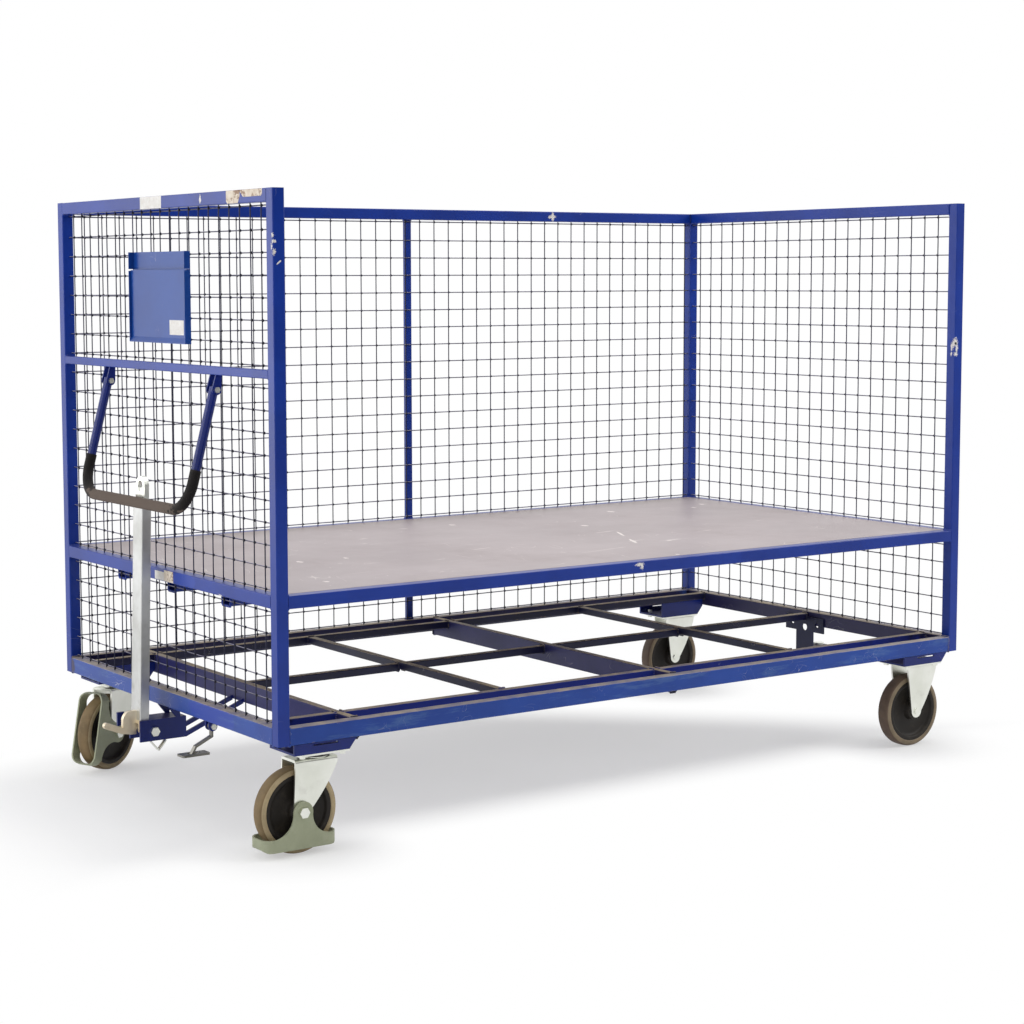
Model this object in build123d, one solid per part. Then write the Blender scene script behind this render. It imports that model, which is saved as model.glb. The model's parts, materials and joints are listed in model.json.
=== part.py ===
from build123d import *
import math
import os

# Shelf trolley with three mesh walls, for towing in a train behind a tractor.
# Millimetres. +Z is up and the floor is Z = 0. The front is the drawbar end and faces -X.
# The open long side is the left side and faces -Y. Everything is drawn about the middle
# of the frame and moved along X at the end, so the origin is under the middle of the
# whole part.

# Frame of welded square tube
frame_length = 2160.0
frame_width = 1145.0
frame_height = 1495.0
post_size = 30.0
tube_wall = 2.0
tube_corner = 2.5
base_rail_height = 40.0
light_tube_width = 20.0
light_tube_depth = 15.0
light_tube_wall = 1.5
handle_rail_top = 1098.0

# Open grid in the base
grid_tube_height = 20.0
tall_bar_height = 50.0
centre_rail_drop = 5.0
inner_rail_inset = 102.5
front_bar_x = -865.0
middle_bar_x = 80.0
cross_bar_places = (-393.0, 555.0)

# Shelf
shelf_top = 598.0
board_thickness = 18.0
board_gap = 1.0
bearer_size = 40.0
bearer_pitch = 280.0

# Welded wire mesh
mesh_pitch = 50.0
wire_size = 3.0
mesh_inset = 15.0
mesh_edge_gap = 8.0
edge_wire_drop = 6.0
top_wire_drop = 59.5
end_wire_shift = 8.2
side_wire_shift = -12.3

# Castors
castor_height = 235.0
bracket_drop = 25.0
bracket_length = 164.0
bracket_sheet = 5.0
bracket_slope = 20.0
bracket_slot_length = 65.0
bracket_slot_height = 4.0
castor_inset = 122.0
castor_plate_length = 135.0
castor_plate_width = 108.0
castor_plate_thickness = 5.0
bolt_spacing_x = 105.0
bolt_spacing_y = 82.0
bolt_radius = 4.0
bolt_hole_clearance = 0.5
bolt_head_radius = 7.5
bolt_head_height = 6.5
wheel_radius = 100.0
tyre_width = 40.0
tyre_depth = 16.0
tyre_shoulder = 8.0
rim_width = 37.0
rim_lip = 9.0
web_thickness = 14.0
hub_radius = 24.0
hub_width = 54.0
bearing_radius = 11.0
axle_radius = 6.0
axle_head_radius = 13.0
axle_head_height = 7.0
fixed_axle_head_radius = 9.0
fixed_axle_head_height = 3.0
fork_inside = 56.0
fork_sheet = 5.0
fork_bend = 7.0
fork_bow = 6.0
fork_eye_radius = 21.0
fixed_fork_back = 42.0
fixed_fork_front = 66.0
fixed_axle_lead = 8.0
fixed_fork_eye_radius = 18.0
swivel_trail = 50.0
swivel_fork_back = 66.0
swivel_fork_front = 44.0
far_castor_angle = 25.0
crown_thickness = 6.0
crown_disc_radius = 34.0
crown_disc_rise = 1.7
race_height = 9.0
race_radius = 37.0
race_bore = 21.0
kingpin_radius = 7.0
kingpin_nut_radius = 12.0
kingpin_nut_height = 8.0

# Foot guards on the swivel castors
guard_length = 192.0
guard_lead = 4.0
guard_wall = 4.0
guard_side_gap = 3.0
guard_corner = 27.0
guard_floor_gap = 17.0
guard_band_height = 29.0
guard_toe_round = 14.0
guard_eye_radius = 25.0
guard_flank_foot = 80.0
guard_flank_bow = 13.0
far_guard_tip = 103.0

# Clearances between pieces
turning_gap = 0.05
rest_gap = 0.3
side_gap = 0.5
seat_gap = 0.02

# Drawbar
drawbar_pivot_reach = 40.0
drawbar_pivot_z = 207.0
drawbar_width = 50.0
drawbar_depth = 25.0
drawbar_wall = 3.0
drawbar_offset = 23.0
drawbar_foot_rise = 28.0
drawbar_tube_length = 522.0
drawbar_lean = 1.7
drawbar_bolt_radius = 8.0
drawbar_bolt_head_radius = 12.0
drawbar_bolt_head_height = 8.0
foot_hub_radius = 19.0
foot_side_plate = 8.0
hook_reach = 120.0
hook_thickness = 12.0
hook_arm_height = 15.0
hook_lobe_height = 50.0
hook_lobe_depth = 35.0
hook_lobe_corner = 22.0
hook_bend_reach = 72.0
hook_bend_rise = 3.0
hook_tip_rise = 18.0
eye_thickness = 12.0
eye_width = 48.0
eye_bore_radius = 13.0
eye_rise = 69.0
eye_sink = 40.0

# Drawbar bracket
bracket_plate = 6.0
bracket_nose = 37.0
bracket_plate_height = 52.0
bracket_plate_rise = 29.0
bracket_plate_rear = 86.0
bracket_brace_height = 12.0
bracket_brace_root = 12.0
bracket_neck = 30.0
bracket_neck_slope = 19.0
bracket_tab_reach = 33.0
bracket_tab_width = 18.0
bracket_tab_arm = 12.0
bracket_tab_rise = 12.0
bracket_tab_height = 33.0
clip_sheet = 3.0
clip_half_width = 19.0
clip_shift = 9.5
clip_drop = 22.0
clip_overhang = 6.0

# Push handle
handle_pivot_out = 2.0
handle_pivot_drop = 34.0
handle_spacing = 568.0
handle_drop = 278.0
handle_tube_radius = 11.0
handle_tube_wall = 2.0
handle_bend = 70.0
handle_end_over = 6.0
grip_radius = 13.0
grip_start = 190.0
lug_plate = 4.0
lug_radius = 12.0
handle_bolt_radius = 4.0
handle_bolt_head_radius = 7.5
handle_bolt_head_height = 5.0

# Document holder
holder_width = 300.0
holder_rise = 47.0
holder_height = 218.0
holder_front_drop = 43.0
holder_depth = 16.0
holder_sheet = 2.0
holder_pocket = 6.0
holder_ledge = 13.0
holder_notch = 4.0

# Foot pedal
pedal_y = -230.0
pedal_pin_inset = 11.0
pedal_pin_drop = 11.0
pedal_pin_radius = 4.0
pedal_eye_radius = 8.0
pedal_strap = 5.0
pedal_strap_width = 12.0
pedal_knee_drop = 24.0
pedal_reach = 43.0
pedal_reach_drop = 44.0
pedal_pad_length = 72.0
pedal_pad_width = 34.0
pedal_pad_drop = 64.0
pedal_pad_heel = 11.0
pedal_slot_length = 32.0
pedal_slot_width = 14.0
pedal_ear = 4.0
pedal_ear_width = 22.0

# Rear hitch
hitch_reach = 45.0
hitch_sheet = 5.0
hitch_plate_width = 160.0
hitch_plate_height = 44.0
hitch_plate_top = 285.0
hitch_plate_hole_radius = 7.0
hitch_plate_hole_edge = 28.0
hitch_window_radius = 11.0
hitch_window_rise = 12.0
hitch_tongue_width = 70.0
hitch_tongue_bottom = 160.0
jaw_thickness = 6.0
jaw_low_z = 166.0
jaw_high_z = 188.0
jaw_corner = 18.0
hitch_pin_radius = 10.0
hitch_pin_inset = 20.0
hitch_pin_foot = 2.0
hitch_pin_head_radius = 15.0
hitch_pin_head_height = 6.0

# Places that follow from the sizes above
half_length = frame_length / 2
half_width = frame_width / 2
inside_x = half_length - post_size
inside_y = half_width - post_size
inner_rail_y = half_width - inner_rail_inset
base_z = castor_height + bracket_drop
base_top = base_z + base_rail_height
top_rail_z = frame_height - post_size
shelf_bottom = shelf_top - post_size
board_bottom = shelf_top - board_thickness
bracket_inner_y = inner_rail_y - light_tube_width / 2
castor_x = half_length - castor_inset
castor_y = (half_width + bracket_inner_y) / 2
axle_z = wheel_radius
plate_bottom = castor_height - castor_plate_thickness
race_bottom = plate_bottom - race_height
crown_top = race_bottom - rest_gap - crown_disc_rise
crown_bottom = crown_top - crown_thickness
fork_half = fork_inside / 2 + fork_sheet
guard_half = fork_half + guard_side_gap + guard_wall
rim_radius = wheel_radius - tyre_depth
pivot_x = -half_length - drawbar_pivot_reach
cheek_inside = drawbar_width / 2 + side_gap
cheek_outside = cheek_inside + bracket_plate
handle_pivot_x = -half_length + handle_pivot_out
handle_pivot_z = handle_rail_top - light_tube_width - handle_pivot_drop
holder_bottom = handle_rail_top + holder_rise
pin_x = half_length + hitch_reach - hitch_pin_inset
front_reach = drawbar_pivot_reach + hook_reach
frame_shift = (front_reach - hitch_reach) / 2


def block(x_range, y_range, z_range):
    """Solid box between the given limits."""
    middle = [(low + high) / 2 for low, high in (x_range, y_range, z_range)]
    size = [high - low for low, high in (x_range, y_range, z_range)]
    return Pos(*middle) * Box(*size)


def tube(plane, width, depth, length, wall):
    """Rectangular tube along the plane's normal, open at both ends, centred on the plane's origin."""
    outer = RectangleRounded(width, depth, tube_corner)
    inner = Rectangle(width - 2 * wall, depth - 2 * wall)
    return extrude(plane * (outer - inner), length / 2, both=True)


def tube_x(x_range, y, z, width, height, wall=tube_wall):
    """Tube along X; width is across Y and height across Z."""
    plane = Plane(origin=((x_range[0] + x_range[1]) / 2, y, z), x_dir=(0, 1, 0), z_dir=(1, 0, 0))
    return tube(plane, width, height, x_range[1] - x_range[0], wall)


def tube_y(y_range, x, z, width, height, wall=tube_wall):
    """Tube along Y; width is across X and height across Z."""
    plane = Plane(origin=(x, (y_range[0] + y_range[1]) / 2, z), x_dir=(1, 0, 0), z_dir=(0, -1, 0))
    return tube(plane, width, height, y_range[1] - y_range[0], wall)


def tube_z(z_range, x, y, width, depth, wall=tube_wall):
    """Tube along Z; width is across X and depth across Y."""
    plane = Plane(origin=(x, y, (z_range[0] + z_range[1]) / 2))
    return tube(plane, width, depth, z_range[1] - z_range[0], wall)


def side_plate(outline, y_from, y_to):
    """Plate cut to an outline drawn in X and Z, between two Y places."""
    return Pos(0, y_to, 0) * extrude(Plane.XZ * outline, y_to - y_from)


def rod_y(radius, y_from, y_to, x, z, sides=0):
    """Round bar along Y, or a prism when a number of sides is given."""
    outline = RegularPolygon(radius, sides) if sides else Circle(radius)
    return side_plate(Pos(x, z) * outline, y_from, y_to)


def rod_z(radius, z_from, z_to, x, y, sides=0):
    """Round bar along Z, or a prism when a number of sides is given."""
    outline = RegularPolygon(radius, sides) if sides else Circle(radius)
    return Pos(x, y, z_from) * extrude(outline, z_to - z_from)


def strip(points, thickness):
    """Outline of a bent strip that follows the points."""
    outline = Sketch()
    for start, end in zip(points, points[1:]):
        run = math.dist(start, end)
        angle = math.degrees(math.atan2(end[1] - start[1], end[0] - start[0]))
        middle = ((start[0] + end[0]) / 2, (start[1] + end[1]) / 2)
        outline += Pos(*middle) * Rot(0, 0, angle) * SlotCenterToCenter(run, thickness)
    return outline


def save(name, *pieces):
    """Move the pieces to the part's origin and write them as one named node."""
    solids = [solid for piece in pieces for solid in piece.solids()]
    moved = [Pos(frame_shift, 0, 0) * solid for solid in solids]
    shape = moved[0] if len(moved) == 1 else Compound(moved)
    export_step(shape, f"parts/{name}.step")


def wire_places(shift, low, high):
    """Places of the wires between two frame members, on the mesh pitch."""
    first = math.ceil((low + mesh_edge_gap - shift) / mesh_pitch)
    last = math.floor((high - mesh_edge_gap - shift) / mesh_pitch)
    return [shift + mesh_pitch * step for step in range(first, last + 1)]


def mesh_levels():
    """Heights of the level wires: one along the top rail, the rest on the pitch, none in the shelf rail."""
    levels = [top_rail_z - edge_wire_drop]
    level = top_rail_z - top_wire_drop
    while level > base_top + wire_size:
        if not shelf_bottom - wire_size < level < shelf_top + wire_size:
            levels.append(level)
        level -= mesh_pitch
    return levels


def mesh_wall(upright_places, half_span):
    """Wires of one wall, drawn along X with its outer face at Y = 0 and its inside towards -Y."""
    upright_y = (-mesh_inset - wire_size, -mesh_inset)
    level_y = (upright_y[0] - wire_size, upright_y[0])
    wires = []
    for place in upright_places:
        across = (place - wire_size / 2, place + wire_size / 2)
        wires.append(block(across, upright_y, (base_top, shelf_bottom)))
        wires.append(block(across, upright_y, (shelf_top, top_rail_z)))
    for level in mesh_levels():
        height = (level - wire_size / 2, level + wire_size / 2)
        wires.append(block((-half_span, half_span), level_y, height))
    return wires


def corner_post(x_side, y_side):
    """Corner post, closed at the top and open at the foot."""
    x = x_side * (half_length - post_size / 2)
    y = y_side * (half_width - post_size / 2)
    post = tube_z((base_z, frame_height), x, y, post_size, post_size)
    lid = Rectangle(post_size - 2 * tube_wall, post_size - 2 * tube_wall)
    return post + Pos(x, y, frame_height) * extrude(lid, -tube_wall)


def castor_bracket(x_side, y_side):
    """Folded tray that carries one castor under the base rails, with its rear end cut on a slope."""
    middle_x = x_side * castor_x
    x_range = (middle_x - bracket_length / 2, middle_x + bracket_length / 2)
    inner_top = base_top - grid_tube_height
    inner_y = (-bracket_inner_y - bracket_sheet, -bracket_inner_y)
    tray = block(x_range, (-half_width, -bracket_inner_y), (castor_height, castor_height + bracket_sheet))
    tray += block(x_range, (-half_width, bracket_sheet - half_width), (castor_height, base_z))
    tray += block(x_range, inner_y, (castor_height, inner_top))
    slope = Polygon(
        (x_range[1] - bracket_slope, castor_height),
        (x_range[1], castor_height),
        (x_range[1], base_z),
        align=None,
    )
    tray -= side_plate(slope, -half_width, -bracket_inner_y)
    slot_z = base_z - bracket_sheet
    slot = Box(bracket_slot_length, 2 * bracket_sheet, bracket_slot_height)
    tray -= Pos(middle_x, -half_width, slot_z) * slot
    for x, y in bolt_places(x_side, -1):
        tray -= rod_z(bolt_radius + bolt_hole_clearance, 0, base_top, x, y)
    return tray if y_side < 0 else mirror(tray, Plane.XZ)


def bolt_places(x_side, y_side):
    """The four bolt places of one castor plate."""
    return [
        (x_side * castor_x + x_step * bolt_spacing_x / 2, y_side * castor_y + y_step * bolt_spacing_y / 2)
        for x_step in (-1, 1)
        for y_step in (-1, 1)
    ]


def castor_bolt(x, y):
    """Castor bolt with its head in the tray and its nut under the castor plate."""
    tray_floor = castor_height + bracket_sheet
    bolt = rod_z(bolt_radius, plate_bottom, tray_floor, x, y)
    bolt += rod_z(bolt_head_radius, tray_floor, tray_floor + bolt_head_height, x, y, 6)
    return bolt + rod_z(bolt_head_radius, plate_bottom - bolt_head_height, plate_bottom, x, y, 6)


def castor_plate():
    """Top plate of a castor, drawn about the castor's own middle."""
    outline = RectangleRounded(castor_plate_length, castor_plate_width, bolt_head_radius)
    plate = Pos(0, 0, plate_bottom) * extrude(outline, castor_plate_thickness)
    for x_step in (-1, 1):
        for y_step in (-1, 1):
            place = (x_step * bolt_spacing_x / 2, y_step * bolt_spacing_y / 2)
            plate -= rod_z(bolt_radius + bolt_hole_clearance, plate_bottom, castor_height, *place)
    return plate


def fork_outline(back, front, top, axle_x, eye_radius):
    """Side view of a castor fork: a wide head that draws in to a round eye at the axle."""
    shoulder_z = top - 2 * fork_bend
    back_top = Line((back, top), (back, shoulder_z))
    back_side = Line((back, shoulder_z), (axle_x - eye_radius, axle_z))
    eye = ThreePointArc(
        (axle_x - eye_radius, axle_z), (axle_x, axle_z - eye_radius), (axle_x + eye_radius, axle_z)
    )
    front_side = ThreePointArc(
        (axle_x + eye_radius, axle_z),
        ((axle_x + eye_radius + front) / 2 + fork_bow, (axle_z + shoulder_z) / 2),
        (front, shoulder_z),
    )
    front_top = Line((front, shoulder_z), (front, top))
    lid = Line((front, top), (back, top))
    return make_face([back_top, back_side, eye, front_side, front_top, lid])


def fork_body(outline, top, inside_top, axle_x):
    """Pressed fork: two legs and the crown between them, bent from one sheet."""
    fork = side_plate(outline, -fork_half, fork_half)
    long_edges = fork.edges().filter_by(Axis.X).group_by(Axis.Z)[-1]
    fork = fillet(long_edges, fork_bend)
    reach = wheel_radius + fork_half
    hollow = block((axle_x - reach, axle_x + reach), (-fork_inside / 2, fork_inside / 2), (0, inside_top))
    fork -= hollow
    return fork - rod_y(axle_radius + turning_gap, -fork_half, fork_half, axle_x, axle_z)


def swivel_fork():
    """Fork of a swivel castor, drawn about its kingpin with the wheel trailing towards -X."""
    outline = fork_outline(-swivel_fork_back, swivel_fork_front, crown_top, -swivel_trail, fork_eye_radius)
    fork = fork_body(outline, crown_top, crown_bottom, -swivel_trail)
    fork += rod_z(crown_disc_radius, crown_top, crown_top + crown_disc_rise, 0, 0)
    return fork - rod_z(kingpin_radius + turning_gap, crown_bottom, race_bottom, 0, 0)


def fixed_fork():
    """Fork of a fixed castor with its top plate, drawn about the castor's own middle."""
    axle_x = -fixed_axle_lead
    outline = fork_outline(-fixed_fork_back, fixed_fork_front, plate_bottom, axle_x, fixed_fork_eye_radius)
    return fork_body(outline, plate_bottom, plate_bottom - fork_sheet, axle_x) + castor_plate()


def kingpin():
    """Kingpin of a swivel castor with its nut under the crown."""
    nut_top = crown_bottom - rest_gap
    pin = rod_z(kingpin_radius, nut_top, castor_height, 0, 0)
    return pin + rod_z(kingpin_nut_radius, nut_top - kingpin_nut_height, nut_top, 0, 0, 6)


def axle_bolt(axle_x, clamped_half, head_radius, head_height):
    """Axle bolt with a head and a nut outside the given half width."""
    end = clamped_half + head_height
    bolt = rod_y(axle_radius, -clamped_half, clamped_half, axle_x, axle_z)
    bolt += rod_y(head_radius, -end, -clamped_half, axle_x, axle_z, 6)
    return bolt + rod_y(head_radius, clamped_half, end, axle_x, axle_z, 6)


def tyre(axle_x):
    """Rubber tyre with rounded shoulders."""
    inner = rim_radius + seat_gap
    half = tyre_width / 2
    outline = Polygon((inner, -half), (wheel_radius, -half), (wheel_radius, half), (inner, half), align=None)
    shoulders = outline.vertices().group_by(Axis.X)[-1]
    return Pos(axle_x, 0, axle_z) * revolve(fillet(shoulders, tyre_shoulder), Axis.Y)


def rim(axle_x):
    """Moulded wheel centre: hub, thin web and rim."""
    bore = bearing_radius + seat_gap
    web_edge = rim_radius - rim_lip
    half_outline = [
        (bore, hub_width / 2),
        (hub_radius, hub_width / 2),
        (hub_radius, web_thickness / 2),
        (web_edge, web_thickness / 2),
        (web_edge, rim_width / 2),
        (rim_radius, rim_width / 2),
    ]
    other_half = [(radius, -across) for radius, across in reversed(half_outline)]
    outline = Polygon(*half_outline, *other_half, align=None)
    return Pos(axle_x, 0, axle_z) * revolve(outline, Axis.Y)


def bearing(axle_x):
    """Bearing sleeve in the hub, running on the axle."""
    half = hub_width / 2
    sleeve = rod_y(bearing_radius, -half, half, axle_x, axle_z)
    return sleeve - rod_y(axle_radius + turning_gap, -half, half, axle_x, axle_z)


def foot_guard():
    """Foot guard, a loop round the wheel near the floor with a plate each side up to the axle."""
    x = -swivel_trail
    middle = x - guard_lead
    band_top = guard_floor_gap + guard_band_height
    outer = RectangleRounded(guard_length, 2 * guard_half, guard_corner)
    inner = RectangleRounded(
        guard_length - 2 * guard_wall, 2 * (guard_half - guard_wall), guard_corner - guard_wall
    )
    guard = Pos(middle, 0, guard_floor_gap) * extrude(outer - inner, guard_band_height)
    band = Pos(middle, (guard_floor_gap + band_top) / 2) * Rectangle(guard_length, guard_band_height)
    rounded_band = fillet(band.vertices().group_by(Axis.Y)[0], guard_toe_round)
    guard -= side_plate(band - rounded_band, -guard_half, guard_half)
    flank_mid_z = (band_top + axle_z) / 2 - guard_flank_bow
    flank_bottom = band_top - guard_wall
    toe = middle - guard_flank_foot
    heel = middle + guard_flank_foot
    foot = Polyline((toe, band_top), (toe, flank_bottom), (heel, flank_bottom), (heel, band_top))
    right = ThreePointArc(
        (heel, band_top),
        ((heel + x + guard_eye_radius) / 2 - guard_flank_bow, flank_mid_z),
        (x + guard_eye_radius, axle_z),
    )
    top = ThreePointArc(
        (x + guard_eye_radius, axle_z), (x, axle_z + guard_eye_radius), (x - guard_eye_radius, axle_z)
    )
    left = ThreePointArc(
        (x - guard_eye_radius, axle_z),
        ((toe + x - guard_eye_radius) / 2 + guard_flank_bow, flank_mid_z),
        (toe, band_top),
    )
    flank = make_face([*foot.edges(), right, top, left])
    for side in (-1, 1):
        plate_y = sorted((side * guard_half, side * (guard_half - guard_wall)))
        boss_y = sorted((side * guard_half, side * (fork_half + rest_gap)))
        guard += side_plate(flank, *plate_y)
        guard += rod_y(axle_head_radius, *boss_y, x, axle_z)
    return guard - rod_y(axle_radius + turning_gap, -guard_half, guard_half, x, axle_z)


def tipped_guard():
    """Foot guard swung up about the axle towards the trailing side."""
    axle = Axis((-swivel_trail, 0, axle_z), (0, 1, 0))
    return foot_guard().rotate(axle, far_guard_tip)


def drawbar_place():
    """Place that leans a piece drawn upright about the drawbar pivot."""
    return Pos(pivot_x, 0, drawbar_pivot_z) * Rot(0, drawbar_lean, 0)


def drawbar_tube():
    """Square drawbar tube above its foot."""
    z_range = (drawbar_foot_rise, drawbar_foot_rise + drawbar_tube_length)
    bar = tube_z(z_range, -drawbar_offset, 0, drawbar_depth, drawbar_width, drawbar_wall)
    return drawbar_place() * bar


def drawbar_foot():
    """Foot of the drawbar: two side plates on the pivot, a cap under the tube and the hook plate."""
    tube_out = -drawbar_offset - drawbar_depth / 2
    tube_in = -drawbar_offset + drawbar_depth / 2
    half = drawbar_width / 2
    cap = ((tube_out, 0), (tube_in, 0), (tube_in, drawbar_foot_rise), (tube_out, drawbar_foot_rise))
    side_outline = Circle(foot_hub_radius) + Polygon(*cap, align=None)
    foot = side_plate(side_outline, -half, half)
    gap = half - foot_side_plate
    hub_span = (-foot_hub_radius, foot_hub_radius)
    foot -= block((tube_out, foot_hub_radius), (-gap, gap), hub_span)
    arm_root = (tube_out - hook_arm_height / 2, 0)
    arm_bend = (-hook_bend_reach, hook_bend_rise)
    arm_tip = (-hook_reach + hook_arm_height / 2, hook_tip_rise)
    lobe = Polygon(
        (tube_out, -hook_arm_height / 2),
        (tube_out, hook_lobe_height),
        (tube_out - hook_lobe_depth, hook_lobe_height),
        (tube_out - hook_lobe_depth, -hook_arm_height / 2),
        align=None,
    )
    lobe = fillet(lobe.vertices().group_by(Axis.X)[0], hook_lobe_corner)
    hook = lobe + strip((arm_root, arm_bend, arm_tip), hook_arm_height)
    foot += side_plate(hook, -hook_thickness / 2, hook_thickness / 2)
    foot -= rod_y(drawbar_bolt_radius + turning_gap, -half, half, 0, 0)
    return drawbar_place() * foot


def tow_eye():
    """Tow eye plate set in the upper end of the drawbar tube."""
    top = drawbar_foot_rise + drawbar_tube_length
    eye_z = top + eye_rise - eye_width / 2
    outline = Pos(0, eye_z) * Circle(eye_width / 2)
    outline += Pos(0, (top + eye_z) / 2) * Rectangle(eye_width, eye_z - top)
    tang_width = drawbar_width - 2 * drawbar_wall - 2 * seat_gap
    outline += Pos(0, top - eye_sink / 2) * Rectangle(tang_width, eye_sink)
    outline -= Pos(0, eye_z) * Circle(eye_bore_radius)
    plane = Plane(origin=(-drawbar_offset, 0, 0), x_dir=(0, 1, 0), z_dir=(1, 0, 0))
    return drawbar_place() * extrude(plane * outline, eye_thickness / 2, both=True)


def drawbar_bracket():
    """Welded drawbar bracket: two cheeks braced to the front bar, a stop plate and an upright tab."""
    low = drawbar_pivot_z + bracket_plate_rise - bracket_plate_height
    high = drawbar_pivot_z + bracket_plate_rise
    nose = pivot_x - bracket_nose
    rear = pivot_x + bracket_plate_rear
    brace_end = front_bar_x - light_tube_width / 2
    neck_front = -half_length
    outline = Polygon(
        (nose, high),
        (nose, low),
        (rear, low),
        (brace_end, base_z - bracket_brace_height),
        (brace_end, base_z),
        (rear, low + bracket_brace_root),
        (rear, high),
        (neck_front + bracket_neck, high),
        (neck_front + bracket_neck, base_z),
        (neck_front, base_z),
        (neck_front + bracket_neck_slope, high),
        align=None,
    )
    bracket = side_plate(outline, cheek_inside, cheek_outside)
    bracket += side_plate(outline, -cheek_outside, -cheek_inside)
    tab_x = (nose - bracket_tab_reach, nose - bracket_tab_reach + bracket_tab_width)
    tab_z = drawbar_pivot_z + bracket_tab_rise
    tab_y = (cheek_inside, cheek_outside)
    bracket += block((tab_x[0], nose), tab_y, (tab_z, tab_z + bracket_tab_arm))
    bracket += block(tab_x, tab_y, (tab_z, tab_z + bracket_tab_height))
    lean_shift = bracket_plate_rise * math.tan(math.radians(drawbar_lean))
    stop_front = pivot_x - drawbar_offset + drawbar_depth / 2 + lean_shift + rest_gap
    bracket += block((stop_front, rear), (-cheek_inside, cheek_inside), (high - bracket_plate, high))
    bolt_hole = drawbar_bolt_radius + seat_gap
    return bracket - rod_y(bolt_hole, -cheek_outside, cheek_outside, pivot_x, drawbar_pivot_z)


def bracket_clip():
    """Bent strip under the left cheek of the drawbar bracket."""
    cheek_bottom = drawbar_pivot_z + bracket_plate_rise - bracket_plate_height
    top = cheek_bottom - clip_sheet / 2
    middle = pivot_x + clip_shift
    points = ((middle - clip_half_width, top), (middle, top - clip_drop), (middle + clip_half_width, top))
    return side_plate(strip(points, clip_sheet), -cheek_outside - clip_overhang, -cheek_inside)


def cross_bolt(radius, head_radius, head_height, y_from, y_to, x, z):
    """Pivot bolt along Y with a head at one end and a nut at the other."""
    bolt = rod_y(radius, y_from, y_to, x, z)
    bolt += rod_y(head_radius, y_from - head_height, y_from, x, z, 6)
    return bolt + rod_y(head_radius, y_to, y_to + head_height, x, z, 6)


def handle_lean():
    """Angle at which the handle rests with its grip against the drawbar, and its arm length."""
    lean = math.radians(drawbar_lean)
    cross_z = handle_pivot_z - handle_drop
    face_x = pivot_x + (cross_z - drawbar_pivot_z) * math.tan(lean)
    face_x -= (drawbar_offset + drawbar_depth / 2 + grip_radius + rest_gap) / math.cos(lean)
    out = handle_pivot_x - face_x
    return math.degrees(math.atan2(out, handle_drop)), math.hypot(out, handle_drop)


def handle_place():
    """Place that hangs a piece drawn straight down from the handle pivots at the handle's rest angle."""
    return Pos(handle_pivot_x, 0, handle_pivot_z) * Rot(0, handle_lean()[0], 0)


def handle_sweep(start, outer, inner):
    """Round tube that follows the handle's U from the given distance below the pivots."""
    half = handle_spacing / 2
    length = handle_lean()[1]
    corners_of_u = ((0, -half, -start), (0, -half, -length), (0, half, -length), (0, half, -start))
    path = FilletPolyline(*corners_of_u, radius=handle_bend)
    mouth = Plane(origin=(0, -half, -start), z_dir=(0, 0, -1))
    return sweep(mouth * (Circle(outer) - Circle(inner)), path)


def handle_tube():
    """Bent handle tube with a bolt hole near each end."""
    inner = handle_tube_radius - handle_tube_wall
    bar = handle_sweep(-handle_end_over, handle_tube_radius, inner)
    reach = handle_spacing / 2 + handle_tube_radius
    bar -= rod_y(handle_bolt_radius + turning_gap, -reach, reach, 0, 0)
    return handle_place() * bar


def handle_grip():
    """Soft sleeve over the handle's bends and crossbar."""
    return handle_place() * handle_sweep(grip_start, grip_radius, handle_tube_radius + seat_gap)


def handle_lug(y_side):
    """Pair of plates under the handle rail, one each side of a handle arm."""
    rail_bottom = handle_rail_top - light_tube_width
    rail_back = light_tube_depth - half_length
    outline = Pos(handle_pivot_x, handle_pivot_z) * Circle(lug_radius)
    outline += Polygon(
        (handle_pivot_x - lug_radius, handle_pivot_z),
        (handle_pivot_x + lug_radius, handle_pivot_z),
        (rail_back, rail_bottom),
        (-half_length, rail_bottom),
        align=None,
    )
    outline -= Pos(handle_pivot_x, handle_pivot_z) * Circle(handle_bolt_radius + seat_gap)
    middle = y_side * handle_spacing / 2
    near = handle_tube_radius + side_gap
    plates = [side_plate(outline, middle + near, middle + near + lug_plate)]
    plates.append(side_plate(outline, middle - near - lug_plate, middle - near))
    return plates


def document_holder():
    """Folded sheet tray on the front mesh: back, notched side flanges, low front sheet and sloped ledge."""
    back_x = mesh_inset - half_length
    lip_x = back_x - holder_depth
    half = holder_width / 2
    across_y = (-half, half)
    top = holder_bottom + holder_height
    pocket_top = top - holder_front_drop
    front_x = back_x - holder_sheet - holder_pocket
    holder = block((back_x - holder_sheet, back_x), across_y, (holder_bottom, top))
    holder += block((front_x - holder_sheet, front_x), across_y, (holder_bottom + holder_ledge, pocket_top))
    holder += block((lip_x, back_x), across_y, (holder_bottom, holder_bottom + holder_sheet))
    ledge_top = (front_x - holder_sheet / 2, holder_bottom + holder_ledge)
    ledge_foot = (lip_x + holder_sheet / 2, holder_bottom + holder_sheet / 2)
    holder += side_plate(strip((ledge_top, ledge_foot), holder_sheet), -half, half)
    for flange_y in ((-half, holder_sheet - half), (half - holder_sheet, half)):
        holder += block((lip_x, back_x), flange_y, (holder_bottom, pocket_top - holder_notch / 2))
        holder += block((lip_x, back_x), flange_y, (pocket_top + holder_notch / 2, top))
    return holder


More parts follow.
